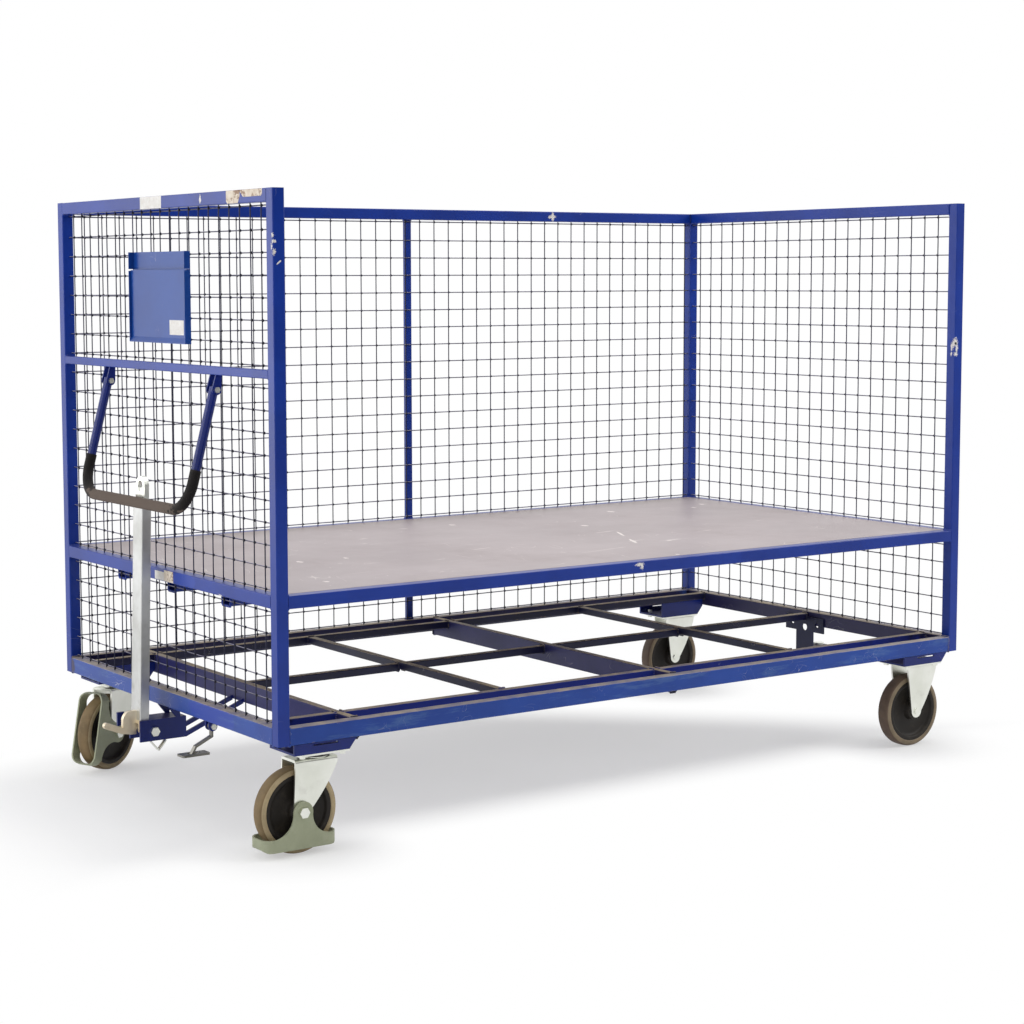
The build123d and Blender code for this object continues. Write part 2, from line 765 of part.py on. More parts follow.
def foot_pedal():
    """Bent foot pedal: a strap that hangs from its pin and a pad with an oval hole."""
    x = pedal_pin_inset - half_length
    z = base_z - pedal_pin_drop
    knee = (x, z - pedal_knee_drop)
    toe = (x - pedal_reach, z - pedal_reach_drop)
    pad_z = z - pedal_pad_drop
    pad_rear = x - pedal_pad_heel
    landing = (toe[0] - pedal_strap * 2, pad_z + pedal_strap / 2)
    outline = Pos(x, z) * Circle(pedal_eye_radius)
    outline += strip(((x, z), knee, toe, landing), pedal_strap)
    half = pedal_strap_width / 2
    pedal = side_plate(outline, pedal_y - half, pedal_y + half)
    pad = RectangleRounded(pedal_pad_length, pedal_pad_width, pedal_strap)
    pad -= SlotOverall(pedal_slot_length, pedal_slot_width)
    pad_middle = (pad_rear - pedal_pad_length / 2, pedal_y, pad_z)
    pedal += Pos(*pad_middle) * extrude(pad, pedal_strap)
    return pedal - rod_y(pedal_pin_radius + turning_gap, pedal_y - half, pedal_y + half, x, z)


def pedal_bracket():
    """Two ears under the front rail that carry the pedal's pin."""
    x = pedal_pin_inset - half_length
    z = base_z - pedal_pin_drop
    outline = Pos(x, z) * Circle(pedal_ear_width / 2)
    outline += Pos(x, (z + base_z) / 2) * Rectangle(pedal_ear_width, base_z - z)
    outline -= Pos(x, z) * Circle(pedal_pin_radius + seat_gap)
    near = pedal_strap_width / 2 + side_gap
    far = near + pedal_ear
    left = side_plate(outline, pedal_y - far, pedal_y - near)
    return [left, side_plate(outline, pedal_y + near, pedal_y + far)]


def hitch_jaw(z_low):
    """One jaw plate of the rear hitch, reaching out under the rear rail."""
    x_from = inside_x - hitch_sheet
    x_to = half_length + hitch_reach
    outline = Pos((x_from + x_to) / 2, 0) * Rectangle(x_to - x_from, hitch_tongue_width)
    outline = fillet(outline.vertices().group_by(Axis.X)[-1], jaw_corner)
    jaw = Pos(0, 0, z_low) * extrude(outline, jaw_thickness)
    return jaw - rod_z(hitch_pin_radius + turning_gap, z_low, z_low + jaw_thickness, pin_x, 0)


def hitch_bracket():
    """Rear hitch: a holed plate on the inside of the rear rail, a tongue below it and two jaws."""
    x_range = (inside_x - hitch_sheet, inside_x)
    plate_bottom_z = hitch_plate_top - hitch_plate_height
    half = hitch_plate_width / 2
    bracket = block(x_range, (-half, half), (plate_bottom_z, hitch_plate_top))
    tongue = (-hitch_tongue_width / 2, hitch_tongue_width / 2)
    bracket += block(x_range, tongue, (hitch_tongue_bottom, plate_bottom_z))
    bracket += hitch_jaw(jaw_low_z) + hitch_jaw(jaw_high_z)
    for side in (-1, 1):
        place = Pos(inside_x, side * (half - hitch_plate_hole_edge), (plate_bottom_z + hitch_plate_top) / 2)
        bracket -= place * Rot(0, 90, 0) * Cylinder(hitch_plate_hole_radius, 4 * hitch_sheet)
    window = Pos(inside_x, 0, plate_bottom_z + hitch_window_rise)
    return bracket - window * Rot(0, 90, 0) * Cylinder(hitch_window_radius, 4 * hitch_sheet)


def hitch_pin():
    """Drop pin of the rear hitch with its round head."""
    seat = jaw_high_z + jaw_thickness + rest_gap
    pin = rod_z(hitch_pin_radius, jaw_low_z - hitch_pin_foot, seat, pin_x, 0)
    return pin + rod_z(hitch_pin_head_radius, seat, seat + hitch_pin_head_height, pin_x, 0)


os.makedirs("parts", exist_ok=True)

# Frame
for post_name, post_x, post_y in (
    ("front_left", -1, -1),
    ("front_right", -1, 1),
    ("rear_left", 1, -1),
    ("rear_right", 1, 1),
):
    save(f"corner_post_{post_name}", corner_post(post_x, post_y))

post_middle_x = half_length - post_size / 2
post_middle_y = half_width - post_size / 2
across = (-inside_y, inside_y)
along = (-inside_x, inside_x)
top_middle_z = frame_height - post_size / 2
shelf_middle_z = shelf_top - post_size / 2
base_middle_z = base_z + base_rail_height / 2
tall_z = base_top - tall_bar_height / 2
grid_z = base_top - grid_tube_height / 2
centre_rail_z = grid_z - centre_rail_drop
light_half = light_tube_width / 2

end_places = (-post_middle_x, post_middle_x)
side_places = (-post_middle_y, post_middle_y)
save("top_end_rails", *[tube_y(across, x, top_middle_z, post_size, post_size) for x in end_places])
save("top_side_rail", tube_x(along, post_middle_y, top_middle_z, post_size, post_size))
centre_post_y = half_width - light_tube_depth / 2
save(
    "side_centre_post",
    tube_z((base_top, shelf_bottom), 0, centre_post_y, light_tube_width, light_tube_depth, light_tube_wall),
    tube_z((shelf_top, top_rail_z), 0, centre_post_y, light_tube_width, light_tube_depth, light_tube_wall),
)
handle_rail_x = light_tube_depth / 2 - half_length
handle_rail_z = handle_rail_top - light_half
save(
    "handle_rail",
    tube_y(across, handle_rail_x, handle_rail_z, light_tube_depth, light_tube_width, light_tube_wall),
)

# Base
side_rails = [tube_x(along, y, base_middle_z, post_size, base_rail_height) for y in side_places]
end_rails = [tube_y(across, x, base_middle_z, post_size, base_rail_height) for x in end_places]
save("base_side_rails", *side_rails)
save("base_end_rails", *end_rails)
tall_places = (front_bar_x, middle_bar_x)
tall_bars = [tube_y(across, x, tall_z, light_tube_width, tall_bar_height) for x in tall_places]
save("base_tall_bars", *tall_bars)
front_field = (front_bar_x + light_half, middle_bar_x - light_half)
rear_field = (middle_bar_x + light_half, inside_x)
nose_field = (-inside_x, front_bar_x - light_half)
save(
    "base_long_rails",
    *[
        tube_x(field, side * inner_rail_y, grid_z, light_tube_width, grid_tube_height, light_tube_wall)
        for side in (-1, 1)
        for field in (nose_field, front_field, rear_field)
    ],
    *[
        tube_x((start, end), 0, centre_rail_z, light_tube_width, grid_tube_height, light_tube_wall)
        for start, end in (
            (front_field[0], cross_bar_places[0] - light_half),
            (cross_bar_places[0] + light_half, front_field[1]),
            (rear_field[0], cross_bar_places[1] - light_half),
            (cross_bar_places[1] + light_half, inside_x - hitch_sheet),
        )
    ],
)
cross_span = (-inner_rail_y + light_half, inner_rail_y - light_half)
save(
    "base_cross_bars",
    *[
        tube_y(cross_span, place, grid_z, light_tube_width, grid_tube_height, light_tube_wall)
        for place in cross_bar_places
    ],
)

# Shelf
save("shelf_side_rails", *[tube_x(along, y, shelf_middle_z, post_size, post_size) for y in side_places])
save("shelf_end_rails", *[tube_y(across, x, shelf_middle_z, post_size, post_size) for x in end_places])
bearer_z = board_bottom - bearer_size / 2
save(
    "shelf_bearers",
    *[tube_x(along, step * bearer_pitch, bearer_z, bearer_size, bearer_size) for step in (-1, 0, 1)],
)
board_x = (-inside_x + board_gap, inside_x - board_gap)
board_y = (-inside_y + board_gap, inside_y - board_gap)
save("shelf_board", block(board_x, board_y, (board_bottom, shelf_top)))

# Mesh walls
end_wires = mesh_wall(wire_places(end_wire_shift, -inside_y, inside_y), inside_y)
side_wires = mesh_wall(wire_places(side_wire_shift, -inside_x, inside_x), inside_x)
save("mesh_wall_side", *[Pos(0, half_width, 0) * wire for wire in side_wires])
save("mesh_wall_front", *[Pos(-half_length, 0, 0) * Rot(0, 0, 90) * wire for wire in end_wires])
rear_wires = [mirror(Pos(-half_length, 0, 0) * Rot(0, 0, 90) * wire, Plane.YZ) for wire in end_wires]
save("mesh_wall_rear", *rear_wires)
save("document_holder", document_holder())

# Castors
corners = [(x_side, y_side) for x_side in (-1, 1) for y_side in (-1, 1)]
save("castor_brackets", *[castor_bracket(x_side, y_side) for x_side, y_side in corners])
save("castor_bolts", *[castor_bolt(x, y) for corner in corners for x, y in bolt_places(*corner)])
swivel_places = [Pos(-castor_x, side * castor_y, 0) for side in (-1, 1)]
fixed_places = [Pos(castor_x, side * castor_y, 0) for side in (-1, 1)]
plate_with_hole = castor_plate() - rod_z(kingpin_radius + seat_gap, plate_bottom, castor_height, 0, 0)
save("swivel_plates", *[place * plate_with_hole for place in swivel_places])
race = rod_z(race_radius, race_bottom, plate_bottom, 0, 0) - rod_z(race_bore, race_bottom, plate_bottom, 0, 0)
save("ball_races", *[place * race for place in swivel_places])
save("kingpins", *[place * kingpin() for place in swivel_places])
guard_clamp = guard_half + rest_gap
for swivel_name, swivel_place, turn, guard in (
    ("front_left", swivel_places[0], 0.0, foot_guard()),
    ("front_right", swivel_places[1], far_castor_angle, tipped_guard()),
):
    place = swivel_place * Rot(0, 0, turn)
    save(f"fork_{swivel_name}", place * swivel_fork())
    guard_axle = axle_bolt(-swivel_trail, guard_clamp, axle_head_radius, axle_head_height)
    save(f"axle_{swivel_name}", place * guard_axle)
    save(f"foot_guard_{swivel_name}", place * guard)
    save(f"tyre_{swivel_name}", place * tyre(-swivel_trail))
    save(f"rim_{swivel_name}", place * rim(-swivel_trail))
    save(f"bearing_{swivel_name}", place * bearing(-swivel_trail))
for fixed_name, place in (("rear_left", fixed_places[0]), ("rear_right", fixed_places[1])):
    save(f"fork_{fixed_name}", place * fixed_fork())
    save(f"tyre_{fixed_name}", place * tyre(-fixed_axle_lead))
    save(f"rim_{fixed_name}", place * rim(-fixed_axle_lead))
    save(f"bearing_{fixed_name}", place * bearing(-fixed_axle_lead))
fixed_axle = axle_bolt(-fixed_axle_lead, fork_half, fixed_axle_head_radius, fixed_axle_head_height)
save("axles_rear", *[place * fixed_axle for place in fixed_places])

# Drawbar, handle, pedal and hitch
save("drawbar_bracket", drawbar_bracket())
save("bracket_clip", bracket_clip())
save("drawbar_tube", drawbar_tube())
save("drawbar_foot", drawbar_foot())
save("tow_eye", tow_eye())
save("handle_tube", handle_tube())
save("handle_grip", handle_grip())
save("handle_lugs", *handle_lug(-1), *handle_lug(1))
save("foot_pedal", foot_pedal())
save("pedal_ears", *pedal_bracket())
save("hitch_bracket", hitch_bracket())
save("hitch_pin", hitch_pin())
lug_reach = handle_tube_radius + side_gap + lug_plate
arm_places = (-handle_spacing / 2, handle_spacing / 2)
handle_bolt_y = [(place - lug_reach, place + lug_reach) for place in arm_places]
ear_reach = pedal_strap_width / 2 + side_gap + pedal_ear
save(
    "pivot_bolts",
    cross_bolt(
        drawbar_bolt_radius,
        drawbar_bolt_head_radius,
        drawbar_bolt_head_height,
        -cheek_outside,
        cheek_outside,
        pivot_x,
        drawbar_pivot_z,
    ),
    *[
        cross_bolt(
            handle_bolt_radius,
            handle_bolt_head_radius,
            handle_bolt_head_height,
            *y_range,
            handle_pivot_x,
            handle_pivot_z,
        )
        for y_range in handle_bolt_y
    ],
    cross_bolt(
        pedal_pin_radius,
        handle_bolt_head_radius,
        handle_bolt_head_height,
        pedal_y - ear_reach,
        pedal_y + ear_reach,
        pedal_pin_inset - half_length,
        base_z - pedal_pin_drop,
    ),
)
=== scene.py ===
"""Looks of the shelf trolley.

Metres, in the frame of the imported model: +Z is up, the drawbar end faces -X and the open
long side faces -Y. Solids whose shape is right keep their mesh and get a finish. The wire
mesh, the wheels, the weld seams and the labels are modelled here and ride on the same bodies.
"""

import json
import logging
import math
from dataclasses import dataclass, field, replace
from enum import Enum

import bmesh
import bpy
from mathutils import Matrix, Vector


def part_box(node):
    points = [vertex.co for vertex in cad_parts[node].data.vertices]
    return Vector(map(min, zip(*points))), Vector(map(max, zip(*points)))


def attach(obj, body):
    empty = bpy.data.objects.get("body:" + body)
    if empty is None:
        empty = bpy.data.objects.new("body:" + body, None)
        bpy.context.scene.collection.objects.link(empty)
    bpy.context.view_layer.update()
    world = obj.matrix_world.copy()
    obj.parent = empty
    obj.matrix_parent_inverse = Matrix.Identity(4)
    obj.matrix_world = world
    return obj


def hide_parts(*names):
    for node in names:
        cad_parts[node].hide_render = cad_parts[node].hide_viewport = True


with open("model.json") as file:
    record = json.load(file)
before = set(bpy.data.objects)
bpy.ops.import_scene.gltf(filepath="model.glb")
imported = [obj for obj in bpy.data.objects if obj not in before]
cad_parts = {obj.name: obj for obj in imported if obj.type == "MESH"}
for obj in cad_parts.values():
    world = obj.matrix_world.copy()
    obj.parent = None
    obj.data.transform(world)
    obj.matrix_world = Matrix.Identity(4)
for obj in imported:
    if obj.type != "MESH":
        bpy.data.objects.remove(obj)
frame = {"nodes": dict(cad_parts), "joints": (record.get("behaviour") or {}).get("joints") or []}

Colour = tuple[float, float, float, float]
Point = tuple[float, float, float]
Pair = tuple[float, float]
Ramp = tuple[float, ...]
Box = tuple[Vector, Vector]
Mesh = bmesh.types.BMesh
Material = bpy.types.Material
Node = bpy.types.Node
Socket = bpy.types.NodeSocket
Tree = bpy.types.NodeTree
Surface = tuple[Socket, object, Socket]
Cut = tuple[float, float, float, float]

log = logging.getLogger("shelf_trolley")
CORNERS = ("front_left", "front_right", "rear_left", "rear_right")
MERGE_DISTANCE = 1e-5
FACE_TOLERANCE = 1e-4
FULL_TURN = 2 * math.pi
QUARTER_TURN = math.pi / 2
ORIGIN = (0.0, 0.0, 0.0)
NO_TURN = (0.0, 0.0, 0.0)
NO_STRETCH = (1.0, 1.0, 1.0)
AXES = range(3)
UP = 2
SECOND_MATERIAL = 1

# The curve between screen colours and linear ones.
SCREEN_LEVELS = 255
STRAIGHT_BELOW = 0.04045
STRAIGHT_SLOPE = 12.92
CURVE_OFFSET = 0.055
CURVE_POWER = 2.4

# Numbers of the mix node's inputs for two values and for two colours, and of its colour output.
MIX_VALUES = (2, 3)
MIX_COLOURS = (6, 7)
MIX_COLOUR_OUT = 2


def screen(*levels: int) -> Colour:
    """Turn a screen colour into the linear colour that shaders use.

    Args:
        levels: Red, green and blue from 0 to 255.

    Returns:
        The linear colour with full opacity.
    """
    linear = []
    for level in levels:
        share = level / SCREEN_LEVELS
        curved = ((share + CURVE_OFFSET) / (1 + CURVE_OFFSET)) ** CURVE_POWER
        linear.append(share / STRAIGHT_SLOPE if share <= STRAIGHT_BELOW else curved)
    return (*linear, 1.0)


@dataclass(frozen=True)
class Noise:
    """Settings of a noise texture; the scale is a number or an output that gives one."""

    scale: object = 1.0
    detail: float = 3.0
    roughness: float = 0.55


class Graph:
    """A node tree with short calls for the nodes that the finishes use."""

    def __init__(self, tree: Tree) -> None:
        """Work on the given tree."""
        self.tree = tree

    def node(self, kind: str, inputs: dict | None = None, **settings: object) -> Node:
        """Add a node.

        Args:
            kind: The node's type name.
            inputs: What feeds its inputs, as for fill.
            settings: Properties to set on it.

        Returns:
            The new node.
        """
        made = self.tree.nodes.new(kind)
        for name, value in settings.items():
            setattr(made, name, value)
        self.fill(made, inputs or {})
        return made

    def fill(self, node: Node, inputs: dict) -> None:
        """Feed a node's inputs.

        Args:
            node: The node.
            inputs: Outputs to link, or constants, by the name or number of the input.
        """
        for key, value in inputs.items():
            if isinstance(value, Socket):
                self.tree.links.new(value, node.inputs[key])
            else:
                node.inputs[key].default_value = value

    def math(self, operation: str, first: object, second: object = 0.0) -> Socket:
        """Result of a math node."""
        return self.node("ShaderNodeMath", {0: first, 1: second}, operation=operation).outputs[0]

    def mix(self, share: object, first: object, second: object) -> Socket:
        """Mix of two colours, by the share of the second."""
        inputs = {0: share} | dict(zip(MIX_COLOURS, (first, second)))
        return self.node("ShaderNodeMix", inputs, data_type="RGBA").outputs[MIX_COLOUR_OUT]

    def blend(self, share: object, first: object, second: object) -> Socket:
        """Mix of two values, by the share of the second."""
        inputs = {0: share} | dict(zip(MIX_VALUES, (first, second)))
        return self.node("ShaderNodeMix", inputs, data_type="FLOAT").outputs[0]

    def between(
        self, value: object, low: object, high: object, start: float = 0.0, end: float = 1.0
    ) -> Socket:
        """Value mapped smoothly from the range of low to high to that of start to end."""
        inputs = dict(enumerate((value, low, high, start, end)))
        return self.node("ShaderNodeMapRange", inputs, interpolation_type="SMOOTHSTEP").outputs[0]

    def noise(self, place: object, grain: Noise) -> Socket:
        """Noise that is read at the given coordinates."""
        inputs = {"Vector": place, "Scale": grain.scale, "Detail": grain.detail, "Roughness": grain.roughness}
        return self.node("ShaderNodeTexNoise", inputs).outputs[0]

    def vector(self, operation: str, *inputs: object) -> Node:
        """Vector math node; some operations give a value and some a vector."""
        return self.node("ShaderNodeVectorMath", dict(enumerate(inputs)), operation=operation)

    def turned(self, place: object, turn: Point, scale: Point) -> Socket:
        """Coordinates turned by angles in degrees and stretched along each axis."""
        inputs = {"Vector": place, "Rotation": [math.radians(angle) for angle in turn], "Scale": scale}
        return self.node("ShaderNodeMapping", inputs, vector_type="TEXTURE").outputs[0]

    def split(self, place: object) -> bpy.types.NodeOutputs:
        """Outputs with the X, Y and Z of a vector."""
        return self.node("ShaderNodeSeparateXYZ", {0: place}).outputs

    def place(self) -> Socket:
        """Object coordinates."""
        return self.node("ShaderNodeTexCoord").outputs["Object"]

    def effect(self, group: Tree, **inputs: object) -> Socket:
        """Result of a shared effect with the given values for its inputs."""
        return self.node("ShaderNodeGroup", inputs, node_tree=group).outputs[0]


@dataclass
class Effects:
    """Shader node groups that several finishes share, with the levels at which their masks change."""

    bevel_samples: int = 4
    edge_bend: Pair = (0.01, 0.12)
    edge_grain: Noise = Noise(detail=5.0, roughness=0.7)
    edge_top: float = 0.95
    edge_fade: float = 0.14
    dust_and_highlight_grain: Noise = Noise(detail=6.0, roughness=0.65)
    dust_and_highlight_ramp: Ramp = (0.25, 0.7, 0.35, 1.0)
    scratch_turns: Point = (12.0, 73.0, 131.0)
    scratch_lean: Pair = (0.3, 0.2)
    scratch_stretch: Point = (14.0, 0.2, 0.2)
    scratch_grain: Noise = Noise(detail=1.0)
    scratch_ramp: Ramp = (0.0, 0.006, 1.0, 0.0)
    scratch_places: Noise = Noise(7.0, 2.0)
    scratch_fade: float = 0.08
    patch_grain: Noise = Noise(detail=3.0, roughness=0.6)
    patch_rim: Ramp = (0.85, 1.0, 1.0, 0.0)
    mottle_grain: Noise = Noise(detail=4.0, roughness=0.6)
    mottle_levels: Pair = (0.3, 0.7)
    noise_middle: float = 0.5

    def __post_init__(self) -> None:
        """Build every group once."""
        self.edge_wear = self._edge_wear()
        self.dust_and_highlight = self._dust_and_highlight()
        self.scratches = self._scratches()
        self.patch = self._patch()
        self.mottle = self._mottle()

    @staticmethod
    def _group(name: str, inputs: dict[str, object]) -> tuple[Graph, bpy.types.NodeOutputs]:
        """Start a group with one value output.

        Args:
            name: The group's name.
            inputs: Input names with their defaults; a tuple makes a vector.

        Returns:
            The group's graph, and what its inputs give.
        """
        tree = bpy.data.node_groups.new(name, "ShaderNodeTree")
        for label, start in inputs.items():
            kind = "NodeSocketVector" if isinstance(start, tuple) else "NodeSocketFloat"
            socket = tree.interface.new_socket(label, in_out="INPUT", socket_type=kind)
            socket.default_value = start
        tree.interface.new_socket("Mask", in_out="OUTPUT", socket_type="NodeSocketFloat")
        graph = Graph(tree)
        return graph, graph.node("NodeGroupInput").outputs

    @staticmethod
    def _closed(graph: Graph, mask: Socket) -> Tree:
        """The finished group, with the mask as its output."""
        graph.node("NodeGroupOutput", {0: mask})
        return graph.tree

    def _edge_wear(self) -> Tree:
        """Mask of outer edges, broken up so that the wear is uneven.

        Returns:
            The group.
        """
        graph, given = self._group("edge_wear", {"Radius": 0.003, "Breakup": 30.0, "Amount": 0.4})
        bevel = graph.node("ShaderNodeBevel", {"Radius": given["Radius"]}, samples=self.bevel_samples)
        normal = graph.node("ShaderNodeNewGeometry").outputs["Normal"]
        same = graph.vector("DOT_PRODUCT", bevel.outputs[0], normal).outputs["Value"]
        edge = graph.between(graph.math("SUBTRACT", 1.0, same), *self.edge_bend)
        rough = graph.noise(graph.place(), replace(self.edge_grain, scale=given["Breakup"]))
        start = graph.math("SUBTRACT", self.edge_top, given["Amount"])
        gate = graph.between(rough, start, graph.math("ADD", start, self.edge_fade))
        return self._closed(graph, graph.math("MULTIPLY", edge, gate))

    def _dust_and_highlight(self) -> Tree:
        """Mask of dust that lies on faces that look up; on the wires it also lays a painted highlight.

        Returns:
            The group.
        """
        graph, given = self._group("dust_and_highlight", {"Scale": 14.0, "Amount": 0.4, "Low": 0.45, "High": 0.95})
        upward = graph.split(graph.node("ShaderNodeTexCoord").outputs["Normal"])["Z"]
        flat = graph.between(upward, given["Low"], given["High"])
        rough = graph.noise(graph.place(), replace(self.dust_and_highlight_grain, scale=given["Scale"]))
        share = graph.math("MULTIPLY", graph.between(rough, *self.dust_and_highlight_ramp), given["Amount"])
        return self._closed(graph, graph.math("MULTIPLY", flat, share))

    def _scratches(self) -> Tree:
        """Mask of thin scratches in three directions.

        Returns:
            The group.
        """
        graph, given = self._group("scratches", {"Scale": 6.0, "Amount": 0.5})
        place = graph.place()
        lean_x, lean_y = self.scratch_lean
        total = None
        for turn in self.scratch_turns:
            along = graph.turned(place, (turn * lean_x, turn * lean_y, turn), self.scratch_stretch)
            line = graph.noise(along, replace(self.scratch_grain, scale=given["Scale"]))
            width = graph.math("ABSOLUTE", graph.math("SUBTRACT", line, self.noise_middle))
            thin = graph.between(width, *self.scratch_ramp)
            where = graph.noise(graph.turned(place, (0.0, 0.0, turn), NO_STRETCH), self.scratch_places)
            start = graph.math("SUBTRACT", 1.0, given["Amount"])
            kept = graph.between(where, start, graph.math("ADD", start, self.scratch_fade))
            one = graph.math("MULTIPLY", thin, kept)
            total = one if total is None else graph.math("MAXIMUM", total, one)
        return self._closed(graph, total)

    def _patch(self) -> Tree:
        """Mask of one ragged patch about a point.

        Returns:
            The group.
        """
        inputs = {"Centre": ORIGIN, "Half": ORIGIN, "Turn": NO_TURN, "Ragged": 0.6, "Breakup": 120.0}
        graph, given = self._group("patch", inputs)
        place = graph.place()
        away = graph.vector("SUBTRACT", place, given["Centre"]).outputs["Vector"]
        turning = {"Vector": away, "Rotation": given["Turn"]}
        along = graph.node("ShaderNodeVectorRotate", turning, rotation_type="EULER_XYZ", invert=True)
        share = graph.vector("DIVIDE", along.outputs[0], given["Half"]).outputs["Vector"]
        reach = graph.vector("LENGTH", share).outputs["Value"]
        rough = graph.noise(place, replace(self.patch_grain, scale=given["Breakup"]))
        shift = graph.math("MULTIPLY", graph.math("SUBTRACT", rough, self.noise_middle), given["Ragged"])
        return self._closed(graph, graph.between(graph.math("ADD", reach, shift), *self.patch_rim))

    def _mottle(self) -> Tree:
        """Slow change over a surface, from 0 to 1.

        Returns:
            The group.
        """
        graph, given = self._group("mottle", {"Scale": 8.0})
        rough = graph.noise(graph.place(), replace(self.mottle_grain, scale=given["Scale"]))
        return self._closed(graph, graph.between(rough, *self.mottle_levels))


@dataclass(frozen=True)
class Patch:
    """A ragged patch on a face: where it is, how far it reaches each way, and how it is turned."""

    centre: Point
    half: Point
    ragged: float = 3.2
    breakup: float = 420.0
    turn: Point = NO_TURN

    def mask(self, look: "Look") -> Socket:
        """Mask of this patch in a material."""
        places = {"Centre": self.centre, "Half": self.half, "Turn": self.turn}
        return look.effect(look.effects.patch, **places, Ragged=self.ragged, Breakup=self.breakup)


Patches = tuple[Patch, ...]


class Look(Graph):
    """The graph of one material, with its shader and the shared effects at hand."""

    def __init__(self, name: str, effects: Effects | None = None) -> None:
        """Start the material with a plain shader.

        Args:
            name: The material's name.
            effects: The shared effects, if it uses any.
        """
        self.material = bpy.data.materials.new(name)
        self.material.use_nodes = True
        super().__init__(self.material.node_tree)
        self.shader = self.tree.nodes["Principled BSDF"]
        self.effects = effects

    def covered(self, colour: Socket, areas: Patches, over: Colour) -> Socket:
        """Lay another colour over some areas.

        Args:
            colour: The colour so far.
            areas: Where the other colour lies.
            over: The other colour.

        Returns:
            The new colour.
        """
        for area in areas:
            colour = self.mix(area.mask(self), colour, over)
        return colour


@dataclass(frozen=True)
class Finish:
    """What every finish has: two colours that it drifts between, a roughness, and its other constants."""

    colour: Colour
    second: Colour
    roughness: float
    drift: float = 1.0
    relief: float = 0.0001
    gloss: float = 0.5
    metallic: float = 0.0

    def build(self, name: str, effects: Effects) -> Material:
        """Make the material.

        Args:
            name: Its name.
            effects: The shared effects.

        Returns:
            The material.
        """
        look = Look(name, effects)
        drift = look.effect(effects.mottle, Scale=self.drift)
        colour, rough, height = self.surface(look, look.mix(drift, self.colour, self.second))
        bump = look.node("ShaderNodeBump", {"Distance": self.relief, "Height": height})
        look.fill(look.shader, {"Base Color": colour, "Roughness": rough, "Normal": bump.outputs[0]})
        look.fill(look.shader, {"Metallic": self.metallic, "Specular IOR Level": self.gloss})
        return look.material

    def surface(self, look: Look, colour: Socket) -> Surface:
        """Colour, roughness and relief of the surface, which each kind of finish gives for itself."""
        raise NotImplementedError


@dataclass(frozen=True)
class PaintFinish(Finish):
    """Gloss enamel on steel with worn edges, dust, fine scratches and chips; its grime is also painted shade,
    some lighter areas are painted light, and on the wires the dust is also a painted highlight.
    """

    drift: float = 5.0
    relief: float = 0.00012
    gloss: float = 0.32
    worn: Colour = screen(150, 128, 104)
    wear: float = 0.32
    wear_radius: float = 0.0035
    wear_breakup: float = 34.0
    # Colour laid on faces that look up: dust, and on the wires also a painted highlight.
    dust_and_highlight: Colour = screen(150, 136, 118)
    dust_and_highlight_amount: float = 0.12
    dust_and_highlight_scale: float = 18.0
    dust_and_highlight_tilt: Pair = (0.45, 0.95)
    scratch: float = 0.30
    scratch_scale: float = 9.0
    scratch_strength: float = 0.35
    chip: Colour = screen(226, 222, 216)
    chips: Patches = ()
    pit: Colour = screen(16, 15, 22)
    pits: Patches = ()
    # Lighter blue laid on given areas: fresh paint on the frame and base, painted light on the grid's near
    # rail.
    fresh_and_lit_blue: Colour = screen(30, 62, 158)
    fresh_and_lit_areas: Patches = ()
    # Darker colour laid on given areas: grime together with painted shade.
    grime_and_shade: Colour = screen(46, 44, 84)
    grime_and_shade_areas: Patches = ()
    rubbed: Colour = screen(92, 126, 164)
    rub: float = 0.0
    rub_stretch: Point = (7.0, 7.0, 1.0)
    rub_grain: Noise = Noise(46.0, 5.0, 0.7)
    rub_levels: Pair = (0.50, 0.70)
    dulling: float = 0.35
    peel: Noise = Noise(420.0, 1.0)
    peel_height: float = 0.4

    def surface(self, look: Look, colour: Socket) -> Surface:
        """Lay fresh paint and painted light, rubbed streaks, grime with painted shade, dust with a painted
        highlight on the wires, wear, scratches, chips and pits on the base colour.

        Args:
            look: The material's graph.
            colour: The base colour.

        Returns:
            Colour, roughness and relief.
        """
        shared = look.effects
        low, high = self.dust_and_highlight_tilt
        colour = look.covered(colour, self.fresh_and_lit_areas, self.fresh_and_lit_blue)
        streak = look.noise(look.turned(look.place(), NO_TURN, self.rub_stretch), self.rub_grain)
        colour = look.mix(look.between(streak, *self.rub_levels, 0.0, self.rub), colour, self.rubbed)
        colour = look.covered(colour, self.grime_and_shade_areas, self.grime_and_shade)
        dust_and_highlight = look.effect(shared.dust_and_highlight, Scale=self.dust_and_highlight_scale, Amount=self.dust_and_highlight_amount, Low=low, High=high)
        colour = look.mix(dust_and_highlight, colour, self.dust_and_highlight)
        edges = {"Radius": self.wear_radius, "Breakup": self.wear_breakup, "Amount": self.wear}
        bare = look.effect(shared.edge_wear, **edges)
        colour = look.mix(bare, colour, self.worn)
        scratch = look.effect(shared.scratches, Scale=self.scratch_scale, Amount=self.scratch)
        colour = look.mix(look.math("MULTIPLY", scratch, self.scratch_strength), colour, self.chip)
        for patch in self.chips:
            mask = patch.mask(look)
            colour = look.mix(mask, colour, self.chip)
            bare = look.math("MAXIMUM", bare, mask)
        colour = look.covered(colour, self.pits, self.pit)
        cover = look.math("MAXIMUM", bare, dust_and_highlight)
        rough = look.math("ADD", self.roughness, look.math("MULTIPLY", cover, self.dulling))
        peel = look.math("MULTIPLY", look.noise(look.place(), self.peel), self.peel_height)
        return colour, rough, look.math("SUBTRACT", peel, bare)


